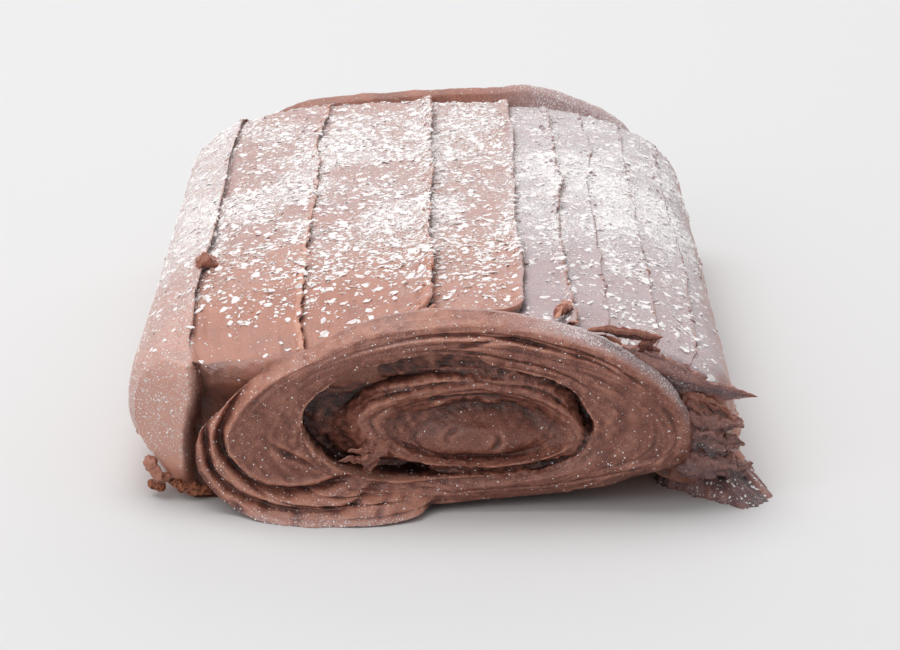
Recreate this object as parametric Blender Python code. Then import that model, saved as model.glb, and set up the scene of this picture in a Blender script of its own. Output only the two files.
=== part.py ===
"""A frosted yule log cake: a low oval roll with a spread swirl of frosting on each end.

X runs across the log, Y along it and +Z up.  The front swirl faces -Y.  The cake rests on the
plane Z = 0 and the origin is the centre of its bounding box, on that plane.
"""

import math

import bmesh
import bpy
from mathutils import Vector

MM = 0.001  # the sizes below are in millimetres, and the meshes in metres

# The roll
ROLL_LENGTH = 232.0
HALF_WIDTH_LEFT = 75.0
HALF_WIDTH_RIGHT = 74.0
WAIST_HEIGHT = 20.0  # height of the widest line
HEIGHT_AT_FRONT = 47.0
HEIGHT_AT_BACK = 49.5
SHOULDER_POWER_LEFT = 2.9  # of a superellipse: 2 is an ellipse, larger is squarer
SHOULDER_POWER_RIGHT = 2.4
FOOT_TUCK_LEFT = 0.09  # share of the half width lost between the waist and the foot
FOOT_TUCK_RIGHT = 0.02
END_TUCK = 0.03  # share of the section lost at the two ends
END_ROUNDING = 6.0  # how far from an end the tuck reaches
SIDE_STEPS = 5  # points down each side, from the waist to the foot
SECTIONS = 21

# Lengthwise strokes of the palette knife, as the places of their edges across the log
STROKE_EDGES = (-58.0, -33.0, -2.0, 20.5, 30.0, 44.0, 55.0, 65.0)
STROKE_STEP = 1.6  # how far a stroke's right edge stands above the next stroke
STROKE_LIP = 0.7  # width of the step at a stroke's edge
STROKE_WANDER = 1.0  # how far the edges stray sideways along the log
STROKE_WAVE = 37.0
STROKE_SPACING = 6.0  # largest distance between points across a stroke

# Frosting that has run out at the foot on the right, near the front
SMEAR_OUT = 10.5
SMEAR_LENGTH = 17.0
SMEAR_HEIGHT = 11.0
SMEAR_AT = 8.0  # distance behind the roll's front

# The swirls
SWIRL_TURNS = 2.3
GROOVE_DEPTH = 5.0  # of the groove between one turn of the spiral and the next
GROOVE_WIDTH = 0.17  # half width of the groove, as a share of one turn
SWIRL_DISH = 2.5  # how far the middle lies behind the rim
RIM_ROUNDING = 4.0  # how far the face falls back at its outline
RIM_POWER = 7
SIDE_TAPER = 0.06  # share of the outline lost between the face and the roll
SPOKES = 72
FACE_RINGS = 17
SIDE_RINGS = 3
FIT_GAP = 0.3  # left between pieces that touch

FRONT_CENTRE = (11.0, 18.6)
FRONT_THICKNESS = 14.0
# How far the front swirl reaches from its centre, by angle from +X towards +Z, in degrees
FRONT_REACH = {0: 52, 21: 46.5, 34: 41, 56: 34, 80: 31, 102: 31.6, 122: 35.5, 138: 41, 153: 47.6,
               166: 56, 174: 62.5, 182: 67, 188: 66, 194: 62, 201: 54, 212: 34.5, 232: 23, 255: 19,
               275: 16.4, 300: 17.0, 322: 22.0, 336: 32, 346: 44, 353: 51}

BACK_CENTRE = (4.0, 20.0)
BACK_THICKNESS = 11.0
BACK_REACH = {0: 58, 25: 53, 40: 46, 56: 40, 72: 33.4, 90: 31.6, 110: 32.4, 132: 39.2, 150: 53.5,
              160: 61, 172: 65, 184: 65.5, 194: 61, 202: 53, 225: 28, 250: 21.2, 270: 20,
              290: 21.2, 315: 28, 336: 49, 348: 56}

# The lip of frosting that the front swirl pushes out over the table, lower left
LIP_CENTRE_X = -26.0
LIP_HALF_WIDTH = 19.0
LIP_OUT = 12.0
LIP_HEIGHT = 12.0

# Peaks that the knife pulled out of the front swirl's rim: angle, length and half angle
PEAKS = ((27.0, 15.0, 6.0), (11.0, 19.0, 6.0))


def fresh_material(name, colour, roughness):
    """A Principled material of one colour."""
    material = bpy.data.materials.new(name)
    material.use_nodes = True
    shader = material.node_tree.nodes["Principled BSDF"]
    shader.inputs["Base Color"].default_value = (*colour, 1.0)
    shader.inputs["Roughness"].default_value = roughness
    shader.inputs["Metallic"].default_value = 0.0
    return material


def bell(distance, half_width):
    """A bell of height 1 at distance 0."""
    return math.exp(-(distance / half_width) ** 2)


def angle_between(first, second):
    """The smaller angle between two directions, in degrees."""
    return abs((first - second + 180.0) % 360.0 - 180.0)


def lofted_solid(name, rings, apex, material):
    """One closed solid: quads between successive rings, a fan from the apex to the first ring (or
    a flat face over it, where there is no apex) and a flat face over the last ring."""
    bm = bmesh.new()
    loops = [[bm.verts.new(Vector(point) * MM) for point in ring] for ring in rings]
    count = len(loops[0])
    if apex is None:
        bm.faces.new(reversed(loops[0]))
    else:
        tip = bm.verts.new(Vector(apex) * MM)
        for i in range(count):
            bm.faces.new((tip, loops[0][(i + 1) % count], loops[0][i]))
    for near, far in zip(loops, loops[1:]):
        for i in range(count):
            j = (i + 1) % count
            bm.faces.new((near[i], near[j], far[j], far[i]))
    bm.faces.new(loops[-1])
    bmesh.ops.triangulate(bm, faces=bm.faces[:], ngon_method="EAR_CLIP")
    bmesh.ops.recalc_face_normals(bm, faces=bm.faces[:])
    mesh = bpy.data.meshes.new(name)
    bm.to_mesh(mesh)
    bm.free()
    mesh.materials.append(material)
    mesh.shade_smooth()
    mesh.set_sharp_from_angle(angle=math.radians(50))
    solid = bpy.data.objects.new(name, mesh)
    bpy.context.scene.collection.objects.link(solid)
    return solid


def half_width(x):
    """Half width of the roll on the side where x lies."""
    return HALF_WIDTH_LEFT if x < 0 else HALF_WIDTH_RIGHT


def height_above_waist(x, behind_front):
    """Height of the roll's plain outline above its widest line, at x and a distance behind the
    roll's front end."""
    power = SHOULDER_POWER_LEFT if x < 0 else SHOULDER_POWER_RIGHT
    height = HEIGHT_AT_FRONT + (HEIGHT_AT_BACK - HEIGHT_AT_FRONT) * behind_front / ROLL_LENGTH
    share = min(abs(x) / half_width(x), 1.0) ** power
    return (height - WAIST_HEIGHT) * (1 - share) ** (1 / power)


def stroke_samples():
    """Places across the roll where its section has a point, each with the stroke relief there."""
    edges = [-HALF_WIDTH_LEFT, *STROKE_EDGES, HALF_WIDTH_RIGHT]
    samples = []
    for left, right in zip(edges, edges[1:]):
        start, end = left + STROKE_LIP / 2, right - STROKE_LIP / 2
        steps = max(2, round((end - start) / STROKE_SPACING))
        for i in range(steps + 1):
            share = i / steps
            samples.append((start + (end - start) * share, STROKE_STEP * (share - 0.5)))
    return samples


def roll_section(behind_front):
    """Points of the roll's outline, in X and Z, at a distance behind its front end."""
    from_end = min(behind_front, ROLL_LENGTH - behind_front)
    swell = 1.0 - END_TUCK * bell(from_end, END_ROUNDING)
    wander = STROKE_WANDER * math.sin(behind_front / STROKE_WAVE)
    top = []
    for x, relief in stroke_samples():
        inward = 1 - abs(x / half_width(x)) ** 4
        moved = x + wander * inward
        height = height_above_waist(moved, behind_front) + relief * inward
        top.append((moved * swell, WAIST_HEIGHT + height * swell))
    smear = SMEAR_OUT * bell(behind_front - SMEAR_AT, SMEAR_LENGTH)
    right, left = [], []
    for i in range(1, SIDE_STEPS + 1):
        share = i / SIDE_STEPS
        z = WAIST_HEIGHT * (1 - share)
        tucked = HALF_WIDTH_RIGHT * (1 - FOOT_TUCK_RIGHT * share ** 2)
        right.append((tucked * swell + smear * bell(z, SMEAR_HEIGHT), z))
        left.append((-HALF_WIDTH_LEFT * (1 - FOOT_TUCK_LEFT * share ** 2) * swell, z))
    return top + right + left[::-1]


def build_roll(front, material):
    """The roll under its long knife strokes, with its sections closer together near the ends."""
    rings = []
    for i in range(SECTIONS):
        share = i / (SECTIONS - 1)
        eased = 0.5 - 0.5 * math.cos(math.pi * share)
        behind_front = ROLL_LENGTH * (share + eased) / 2
        rings.append([(x, front + behind_front, z) for x, z in roll_section(behind_front)])
    return lofted_solid("frosted_roll", rings, None, material)


def outline_reach(reach, degrees):
    """How far an outline lies from its centre at an angle, eased between the angles it names."""
    degrees %= 360
    low = max(angle for angle in reach if angle <= degrees)
    high = min((angle for angle in reach if angle > degrees), default=360)
    share = (degrees - low) / (high - low)
    return reach[low] + (reach[high % 360] - reach[low]) * share


def face_depth(degrees, reach_share):
    """Depth of a swirl's face behind its crest: a spiral groove, a dished middle, a round rim."""
    turn = reach_share * SWIRL_TURNS - degrees / 360.0
    from_groove = abs(turn - round(turn))
    fade = min(1.0, 3.0 * reach_share) * min(1.0, 7.0 * (1.0 - reach_share))
    groove = GROOVE_DEPTH * bell(from_groove, GROOVE_WIDTH) * fade
    return groove + SWIRL_DISH * (1 - reach_share) + RIM_ROUNDING * reach_share ** RIM_POWER


def peak_reach(degrees):
    """How far the pulled peaks add to the outline at an angle."""
    return sum(length * max(0.0, 1 - angle_between(degrees, angle) / half)
               for angle, length, half in PEAKS)


def lip_reach(x, z):
    """How far the lip at the front swirl's foot stands out in front of its face."""
    return LIP_OUT * bell(x - LIP_CENTRE_X, LIP_HALF_WIDTH) * max(0.0, 1 - z / LIP_HEIGHT) ** 1.5


def build_swirl(name, back, facing, centre, reach, thickness, worked, material):
    """A swirl of frosting whose flat back lies at y = back and whose face looks along facing;
    a worked one has the lip and the pulled peaks."""
    rings = []
    for ring in range(1, FACE_RINGS + SIDE_RINGS + 1):
        on_side = max(0, ring - FACE_RINGS) / SIDE_RINGS
        share = min(1.0, ring / FACE_RINGS)
        points = []
        for spoke in range(SPOKES):
            degrees = 360.0 * spoke / SPOKES
            radius = outline_reach(reach, degrees) * share * (1 - SIDE_TAPER * on_side ** 2)
            if worked and ring == FACE_RINGS + 1:
                radius += peak_reach(degrees)
            x = centre[0] + radius * math.cos(math.radians(degrees))
            z = max(0.0, centre[1] + radius * math.sin(math.radians(degrees)))
            depth = face_depth(degrees, share)
            depth += (thickness - depth) * on_side
            if worked:
                depth -= lip_reach(x, z) * (1 - on_side) ** 2
            points.append((x, back + facing * (thickness - depth), z))
        rings.append(points)
    apex = (centre[0], back + facing * (thickness - SWIRL_DISH), centre[1])
    return lofted_solid(name, rings, apex, material)


def centre_on_origin(solids):
    """Moves every mesh so that the whole cake's box stands centred on the origin."""
    corners = [vertex.co.copy() for solid in solids for vertex in solid.data.vertices]
    low = Vector([min(corner[axis] for corner in corners) for axis in range(3)])
    high = Vector([max(corner[axis] for corner in corners) for axis in range(3)])
    middle = Vector(((low.x + high.x) / 2, (low.y + high.y) / 2, low.z))
    for solid in solids:
        for vertex in solid.data.vertices:
            vertex.co -= middle


def main():
    for old in list(bpy.data.objects):
        bpy.data.objects.remove(old)
    front = -ROLL_LENGTH / 2
    back = front + ROLL_LENGTH
    solids = [
        build_roll(front, fresh_material("roll_frosting", (0.19, 0.085, 0.065), 0.45)),
        build_swirl("front_swirl", front - FIT_GAP, -1, FRONT_CENTRE, FRONT_REACH, FRONT_THICKNESS,
                    True, fresh_material("front_swirl_frosting", (0.16, 0.065, 0.05), 0.42)),
        build_swirl("back_swirl", back + FIT_GAP, 1, BACK_CENTRE, BACK_REACH, BACK_THICKNESS,
                    False, fresh_material("back_swirl_frosting", (0.16, 0.065, 0.05), 0.42)),
    ]
    centre_on_origin(solids)


main()
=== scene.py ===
"""The looks of a frosted yule log cake: a low oval roll cake under long knife strokes of chocolate
buttercream, a spread swirl on each end, torn peaks and crumbs at its foot, and icing sugar over all.

Sizes are in millimetres until a mesh is made.  The maker's frame has X across the log from its
middle line, Y along the log from the roll's front end and Z up from the table; `Log` moves that
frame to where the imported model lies.
"""

import logging
import math
from collections.abc import Sequence
from dataclasses import dataclass, replace
from enum import Enum

import bmesh
import bpy
import numpy as np
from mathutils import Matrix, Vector


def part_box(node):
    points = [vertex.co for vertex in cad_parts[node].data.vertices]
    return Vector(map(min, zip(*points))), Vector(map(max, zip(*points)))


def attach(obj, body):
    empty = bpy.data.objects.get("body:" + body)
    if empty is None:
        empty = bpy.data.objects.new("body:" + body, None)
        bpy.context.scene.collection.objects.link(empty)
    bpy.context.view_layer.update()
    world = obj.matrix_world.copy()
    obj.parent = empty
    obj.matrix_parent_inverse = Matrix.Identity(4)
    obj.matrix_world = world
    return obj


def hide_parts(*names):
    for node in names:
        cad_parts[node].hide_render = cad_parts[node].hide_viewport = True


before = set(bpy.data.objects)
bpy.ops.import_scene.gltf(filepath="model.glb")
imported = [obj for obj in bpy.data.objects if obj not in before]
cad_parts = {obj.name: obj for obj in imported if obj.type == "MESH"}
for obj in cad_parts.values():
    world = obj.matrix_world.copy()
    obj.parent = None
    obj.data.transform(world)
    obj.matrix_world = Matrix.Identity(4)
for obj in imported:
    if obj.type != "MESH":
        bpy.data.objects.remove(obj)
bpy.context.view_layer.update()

MM = 0.001
BODY = "root"
LOG = logging.getLogger("yule_log")
Array = np.ndarray
TAU = 2.0 * math.pi


# ------------------------------------------------------------------------------------ small tools


def linear(hex_colour: str) -> tuple[float, float, float, float]:
    """Turns an sRGB colour into the linear values that a shader takes.

    Args:
        hex_colour: Six hex digits, such as "84574b".

    Returns:
        Red, green, blue and an alpha of 1.
    """
    channels = [int(hex_colour[i:i + 2], 16) / 255.0 for i in (0, 2, 4)]
    bent = [c / 12.92 if c <= 0.04045 else ((c + 0.055) / 1.055) ** 2.4 for c in channels]
    return (bent[0], bent[1], bent[2], 1.0)


def bell(distance: Array, width: float) -> Array:
    """A bell of height 1 at distance 0."""
    return np.exp(-(distance / width) ** 2)


def ease(value: Array, start: float, end: float) -> Array:
    """Rises smoothly from 0 at start to 1 at end."""
    share = np.clip((value - start) / (end - start), 0.0, 1.0)
    return share * share * (3.0 - 2.0 * share)


class Noise:
    """Smooth random values over space, the same on every run."""

    PRIMES = (73856093, 19349663, 83492791)
    MASK = 65535

    def __init__(self, seed: int) -> None:
        """Fills the table of values.

        Args:
            seed: Which of the possible patterns this is.
        """
        self.values = np.random.default_rng(seed).uniform(-1.0, 1.0, self.MASK + 1)

    def at(self, axes: Sequence[Array], sizes: Sequence[float]) -> Array:
        """Values between -1 and 1 at places given by up to three coordinates.

        Args:
            axes: One array for each coordinate, all of one shape.
            sizes: The pattern's cell size along each coordinate.

        Returns:
            An array of that shape.
        """
        cells, shares = [], []
        for axis, size in zip(axes, sizes):
            scaled = axis / size
            floor = np.floor(scaled)
            share = scaled - floor
            cells.append(floor.astype(np.int64))
            shares.append(share * share * (3.0 - 2.0 * share))
        total = np.zeros(np.broadcast(*axes).shape if len(axes) > 1 else axes[0].shape)
        for corner in range(2 ** len(axes)):
            weight, key = 1.0, 0
            for i, (cell, share) in enumerate(zip(cells, shares)):
                bit = corner >> i & 1
                weight = weight * (share if bit else 1.0 - share)
                key = key ^ ((cell + bit) * self.PRIMES[i])
            total = total + weight * self.values[key & self.MASK]
        return total

    def rough(self, axes: Sequence[Array], size: float, octaves: int = 3) -> Array:
        """Adds several sizes of the pattern, each half as wide and half as strong as the last."""
        return sum(self.at(axes, [size / 2 ** i] * len(axes)) / 2 ** i for i in range(octaves))


def cubic_weights(t: Array) -> tuple[Array, Array, Array, Array]:
    """Weights of the values at a span's start and end, and of the slopes there, at a share t of it."""
    return (2 * t ** 3 - 3 * t ** 2 + 1, 3 * t ** 2 - 2 * t ** 3,
            t ** 3 - 2 * t ** 2 + t, t ** 3 - t ** 2)


def through(places: Array, values: Array, wanted: Array, period: float = 0.0) -> Array:
    """Reads a smooth curve through points, which never overshoots them.

    Args:
        places: Where the points lie, rising.
        values: The curve's values there.
        wanted: The places to read.
        period: The length after which the curve repeats, or 0.

    Returns:
        The curve's values at the wanted places.
    """
    if period:
        places = np.concatenate([places - period, places, places + period])
        values = np.concatenate([values, values, values])
    steps = np.diff(places)
    slopes = np.diff(values) / steps
    product = slopes[:-1] * slopes[1:]
    both = np.where(product > 0, 2.0 * product / np.where(product > 0, slopes[:-1] + slopes[1:], 1), 0)
    tangents = np.concatenate([slopes[:1], both, slopes[-1:]])
    i = np.clip(np.searchsorted(places, wanted) - 1, 0, len(steps) - 1)
    start, end, rise, fall = cubic_weights(np.clip((wanted - places[i]) / steps[i], 0.0, 1.0))
    return (start * values[i] + end * values[i + 1]
            + steps[i] * (rise * tangents[i] + fall * tangents[i + 1]))


def round_centre(across: Array, up: Array, turns: Array, *values: Array) -> list[Array]:
    """Reads closed curves that are given at points round a centre.

    Args:
        across: How far to one side of the centre each point lies.
        up: How far the other way.
        turns: The angles wanted.
        values: The curves' values at the points.

    Returns:
        Each curve's values at the wanted angles.
    """
    angle = np.arctan2(up, across)
    order = np.argsort(angle)
    return [through(angle[order], each[order], turns, TAU) for each in values]


def smooth_path(points: Sequence[Sequence[float]], count: int) -> Array:
    """Draws a curve through given points.

    Args:
        points: The given points, in order.
        count: How many points the curve gets.

    Returns:
        The curve's evenly spaced points, as rows.
    """
    corners = np.array(points, float)
    lengths = np.concatenate([[0.0], np.cumsum(np.linalg.norm(np.diff(corners, axis=0), axis=1))])
    wanted = np.linspace(0.0, lengths[-1], count)
    return np.stack([through(lengths, column, wanted) for column in corners.T], axis=1)


def nearest_on_path(points: Array, path: Array) -> tuple[Array, Array]:
    """Finds how far points in a plane lie from a path.

    Args:
        points: The points, as rows of two numbers.
        path: The path's own points, as rows of two numbers.

    Returns:
        The signed distances, positive on the path's left, and the shares along it of the nearest
        places.
    """
    best = np.full(len(points), 1e9)
    signed, share = np.zeros(len(points)), np.zeros(len(points))
    for i, (start, end) in enumerate(zip(path, path[1:])):
        run = end - start
        offset = points - start
        t = np.clip(offset @ run / max(run @ run, 1e-9), 0.0, 1.0)
        away = offset - t[:, None] * run
        distance = np.hypot(away[:, 0], away[:, 1])
        closer = distance < best
        best = np.where(closer, distance, best)
        side = np.sign(run[0] * offset[:, 1] - run[1] * offset[:, 0])
        signed = np.where(closer, side * distance, signed)
        share = np.where(closer, (i + t) / (len(path) - 1), share)
    return signed, share


def soften(grid: Array, reach: int) -> Array:
    """Blurs a grid of values, whose last column meets its first, along both of its directions.

    Args:
        grid: Rows and columns of values.
        reach: How many rows and columns to each side are averaged.

    Returns:
        The blurred grid.
    """
    window = np.hanning(2 * reach + 3)[1:-1]
    window /= window.sum()
    down = np.pad(grid, ((reach, reach), (0, 0)), mode="edge")
    down = sum(w * down[i:i + grid.shape[0]] for i, w in enumerate(window))
    across = np.pad(down, ((0, 0), (reach, reach)), mode="wrap")
    return sum(w * across[:, i:i + grid.shape[1]] for i, w in enumerate(window))


def surface_normals(grid: Array) -> Array:
    """Finds the directions in which a surface faces.

    Args:
        grid: Rows and columns of points; the last column meets the first.

    Returns:
        A unit vector at each point, to the left of its row's direction.
    """
    along = np.roll(grid, -1, axis=1) - np.roll(grid, 1, axis=1)
    normals = np.cross(np.gradient(grid, axis=0), along)
    return normals / np.maximum(np.linalg.norm(normals, axis=2, keepdims=True), 1e-9)


class Slot(Enum):
    """The record's material slots."""

    ROLL = "roll_frosting"
    SWIRL = "swirl_frosting"
    SUGAR = "icing_sugar"
    CRUMB = "cake_crumb"


def add_object(name: str, data: bpy.types.ID) -> bpy.types.Object:
    """Adds an object to the scene.

    Args:
        name: The object's name.
        data: Its mesh, light or camera.

    Returns:
        The object.
    """
    added = bpy.data.objects.new(name, data)
    bpy.context.scene.collection.objects.link(added)
    return added


def make_object(name: str, points: Array, faces: list[list[int]], finish: bpy.types.Material,
                **attributes: Array) -> bpy.types.Object:
    """Makes a smooth-shaded mesh object in place.

    Args:
        name: The piece's name.
        points: Rows of X, Y and Z in metres.
        faces: Lists of point numbers.
        finish: The piece's material.
        attributes: Values for each point, which the material may read by name.

    Returns:
        The object, at the origin.
    """
    mesh = bpy.data.meshes.new(name)
    mesh.from_pydata(points.tolist(), [], faces)
    for key, values in attributes.items():
        layer = mesh.attributes.new(key, "FLOAT", "POINT")
        layer.data.foreach_set("value", np.asarray(values, np.float32).ravel())
    mesh.materials.append(finish)
    mesh.shade_smooth()
    mesh.update()
    return add_object(name, mesh)


def closed_faces(rows: int, columns: int) -> list[list[int]]:
    """Lists the faces of a closed skin: a grid round the piece and a fan over each of its ends.

    Args:
        rows: Rows of the grid.
        columns: Points in each row, of which the last meets the first.

    Returns:
        The grid's quads and the fans' triangles. The middles of the first row's fan and of the
        last row's are the two points after the grid's.
    """
    r, c = np.meshgrid(np.arange(rows - 1), np.arange(columns), indexing="ij")
    here, right = r * columns + c, r * columns + (c + 1) % columns
    faces = np.stack([here, right, right + columns, here + columns], axis=-1).reshape(-1, 4).tolist()
    last, middle = (rows - 1) * columns, rows * columns
    for i in range(columns):
        j = (i + 1) % columns
        faces += [[middle, j, i], [middle + 1, last + i, last + j]]
    return faces


def mend_normals(piece: bpy.types.Object) -> None:
    """Turns every face of a closed piece outwards.

    Args:
        piece: The piece.
    """
    bm = bmesh.new()
    bm.from_mesh(piece.data)
    bmesh.ops.recalc_face_normals(bm, faces=bm.faces[:])
    bm.to_mesh(piece.data)
    bm.free()


def hand_over(piece: bpy.types.Object, slot: Slot, *replaced: str) -> None:
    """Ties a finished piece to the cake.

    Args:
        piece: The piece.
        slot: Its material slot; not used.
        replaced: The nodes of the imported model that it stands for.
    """
    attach(piece, BODY)
    if replaced:
        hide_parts(*replaced)
    piece.data.calc_loop_triangles()
    LOG.info("%s: %d triangles", piece.name, len(piece.data.loop_triangles))


# --------------------------------------------------------------------------------------- finishes


def fill_sockets(tree: bpy.types.NodeTree, node: bpy.types.Node, **links: object) -> None:
    """Links or sets a node's inputs.

    Args:
        tree: The node tree.
        node: The node.
        links: Input sockets by name, with spaces as underscores, or by number after an i; each
            given a socket to link from or a value.
    """
    for key, value in links.items():
        socket = node.inputs[int(key[1:])] if key[1:].isdigit() else node.inputs[key.replace("_", " ")]
        if isinstance(value, bpy.types.NodeSocket):
            tree.links.new(value, socket)
        else:
            socket.default_value = value


def add_node(tree: bpy.types.NodeTree, kind: str, settings: dict | None = None,
             **links: object) -> bpy.types.Node:
    """Adds a node with its settings, values and links.

    Args:
        tree: The node tree.
        kind: The node's type name.
        settings: Attributes of the node itself, such as its operation.
        links: Its inputs, as for fill_sockets.

    Returns:
        The node.
    """
    node = tree.nodes.new(kind)
    for key, value in (settings or {}).items():
        setattr(node, key, value)
    fill_sockets(tree, node, **links)
    return node


def maths(tree: bpy.types.NodeTree, operation: str, *values: object) -> bpy.types.NodeSocket:
    """Adds a node that works on numbers.

    Args:
        tree: The node tree.
        operation: What it does with them.
        values: Its inputs in order, each a socket or a number.

    Returns:
        The socket of the result.
    """
    inputs = {f"i{i}": value for i, value in enumerate(values)}
    return add_node(tree, "ShaderNodeMath", {"operation": operation}, **inputs).outputs[0]


def pattern(tree: bpy.types.NodeTree, place: bpy.types.NodeSocket, size_mm: float,
            **links: float) -> bpy.types.NodeSocket:
    """Adds a cloudy pattern.

    Args:
        tree: The node tree.
        place: Where on the piece a point lies, in metres.
        size_mm: How far one patch lies from the next.
        links: The pattern's other inputs.

    Returns:
        The socket of its values, from 0 to 1.
    """
    return add_node(tree, "ShaderNodeTexNoise", Vector=place, Scale=1000 / size_mm, **links).outputs["Fac"]


def ramp(tree: bpy.types.NodeTree, value: bpy.types.NodeSocket,
         *stops: tuple[float, object]) -> bpy.types.NodeSocket:
    """Adds a colour ramp.

    Args:
        tree: The node tree.
        value: The value that picks a place on the ramp.
        stops: Places and what lies there: a grey value, or a colour as hex digits.

    Returns:
        The socket of its colour.
    """
    node = add_node(tree, "ShaderNodeValToRGB", Fac=value)
    elements = node.color_ramp.elements
    while len(elements) < len(stops):
        elements.new(0.5)
    for element, (place, look) in zip(elements, stops):
        element.position = place
        element.color = linear(look) if isinstance(look, str) else (look, look, look, 1.0)
    return node.outputs["Color"]


def mix(tree: bpy.types.NodeTree, share: bpy.types.NodeSocket, first: object,
        second: object) -> bpy.types.NodeSocket:
    """Adds a node that mixes two colours.

    Args:
        tree: The node tree.
        share: How much of the second there is.
        first: The first colour, or a socket of it.
        second: The second colour, or a socket of it.

    Returns:
        The socket of the mixed colour.
    """
    return add_node(tree, "ShaderNodeMix", {"data_type": "RGBA"}, i0=share, i6=first, i7=second).outputs[2]


def bump(tree: bpy.types.NodeTree, height: bpy.types.NodeSocket, strength: float, depth_mm: float,
         **links: bpy.types.NodeSocket) -> bpy.types.NodeSocket:
    """Adds fine relief.

    Args:
        tree: The node tree.
        height: The relief's height, from 0 to 1.
        strength: How strongly it shows.
        depth_mm: How high 1 is.
        links: The direction of a surface that already has relief.

    Returns:
        The socket of the new direction.
    """
    return add_node(tree, "ShaderNodeBump", Height=height, Strength=strength, Distance=depth_mm * MM,
                    **links).outputs["Normal"]


def start_material(name: str) -> tuple[bpy.types.Material, bpy.types.NodeTree, bpy.types.Node]:
    """Starts a material.

    Args:
        name: Its name.

    Returns:
        The material, its node tree and its shader node.
    """
    material = bpy.data.materials.new(name)
    material.use_nodes = True
    return material, material.node_tree, material.node_tree.nodes["Principled BSDF"]


@dataclass(frozen=True)
class Buttercream:
    """Whipped chocolate buttercream, spread with a palette knife and left to dry a little.

    Butter gives the satin gloss, and light gets a little way in, so that thin torn edges glow. The
    pale crest colour is a painted highlight and the dark furrow colour painted shade, both laid on
    by the tone attribute.
    """

    name: str
    furrow: str = "2c1712"  # painted shade where the tone is low: hollows, furrows and cracks
    body: str = "7a4a3d"
    crest: str = "b07a66"  # painted highlight where the tone is high: crests, thin torn edges, the rim's top
    gloss_low: float = 0.33
    gloss_high: float = 0.48
    mottle_mm: float = 9.0  # patches of more and less aerated cream
    grain_mm: float = 0.35  # undissolved sugar and air bubbles
    grit: float = 0.25  # how far these darken and lighten the cream
    whipped_mm: float = 1.3  # the coarser unevenness that whipping leaves
    whipped_depth_mm: float = 0.35
    powder_mm: float = 0.42  # specks of sugar dust, drawn twice as coarse as real so that they show
    haze: float = 1.0  # how much powder clings where the dust attribute is 1
    film: str = "a99ca2"  # a film of powder too fine to see its grains, and on the strokes on the right a painted sheen; full where its attribute is 1
    powder: str = "f3eeec"
    sheen: float = 0.0  # the pale bloom of fine powder seen at a slant
    mottling: float = 0.45  # how far the patches darken and lighten the cream
    drift_mm: float = 6.0  # patches where more or less powder lies
    drifting: float = 0.16
    soft_mm: float = 1.6  # how deep light gets

    def build(self) -> bpy.types.Material:
        """Builds the material.

        Returns:
            The material.
        """
        material, tree, shader = start_material(self.name)
        place = add_node(tree, "ShaderNodeTexCoord").outputs["Object"]
        tone, dust, film = (add_node(tree, "ShaderNodeAttribute", {"attribute_name": name}).outputs["Fac"]
                            for name in ("tone", "dust", "film"))
        mottle = pattern(tree, place, self.mottle_mm, Detail=3.0, Roughness=0.6)
        grain = pattern(tree, place, self.grain_mm, Detail=2.0)
        uneven = maths(tree, "MULTIPLY_ADD", mottle, self.mottling, -0.5 * self.mottling)
        speckle = maths(tree, "MULTIPLY_ADD", grain, self.grit, -0.5 * self.grit)
        level = maths(tree, "ADD", maths(tree, "ADD", tone, uneven), speckle)
        # the tone attribute, with the mottle and the grit, picks the colour: its painted shade reaches the
        # furrow colour, its painted highlight the crest colour
        cream = ramp(tree, level, (0.12, self.furrow), (0.5, self.body), (0.9, self.crest))
        lay = maths(tree, "MULTIPLY_ADD", dust, 0.34 * self.haze, -0.02)
        drift = maths(tree, "MULTIPLY_ADD", pattern(tree, place, self.drift_mm, Detail=2.0),
                      self.drifting, -0.5 * self.drifting)
        specks = pattern(tree, place, self.powder_mm, Detail=1.0, Roughness=0.7)
        heap = maths(tree, "ADD", specks, maths(tree, "ADD", lay, drift))
        white = ramp(tree, heap, (0.72, 0.0), (0.84, 0.85))
        # the film colour: a fine powder, and on the strokes on the right a painted sheen
        filmed = mix(tree, film, cream, linear(self.film))
        gloss = add_node(tree, "ShaderNodeMapRange", Value=mottle, From_Min=0.3, From_Max=0.7,
                         To_Min=self.gloss_low, To_Max=self.gloss_high).outputs[0]
        dulled = add_node(tree, "ShaderNodeMix", {"data_type": "FLOAT"}, i0=white, i2=gloss, i3=0.9)
        whipped = pattern(tree, place, self.whipped_mm, Detail=3.0, Roughness=0.65)
        relief = bump(tree, grain, 0.35, 0.12)
        relief = bump(tree, whipped, 0.5, self.whipped_depth_mm, Normal=relief)
        relief = bump(tree, white, 0.8, 0.2, Normal=relief)
        fill_sockets(tree, shader, Base_Color=mix(tree, white, filmed, linear(self.powder)),
                     Roughness=dulled.outputs[0], Normal=relief, Subsurface_Weight=0.18,
                     Subsurface_Radius=(1.0, 0.35, 0.22), Subsurface_Scale=self.soft_mm * MM,
                     IOR=1.46,  # butterfat
                     Sheen_Weight=self.sheen, Sheen_Roughness=0.45)
        return material


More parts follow.
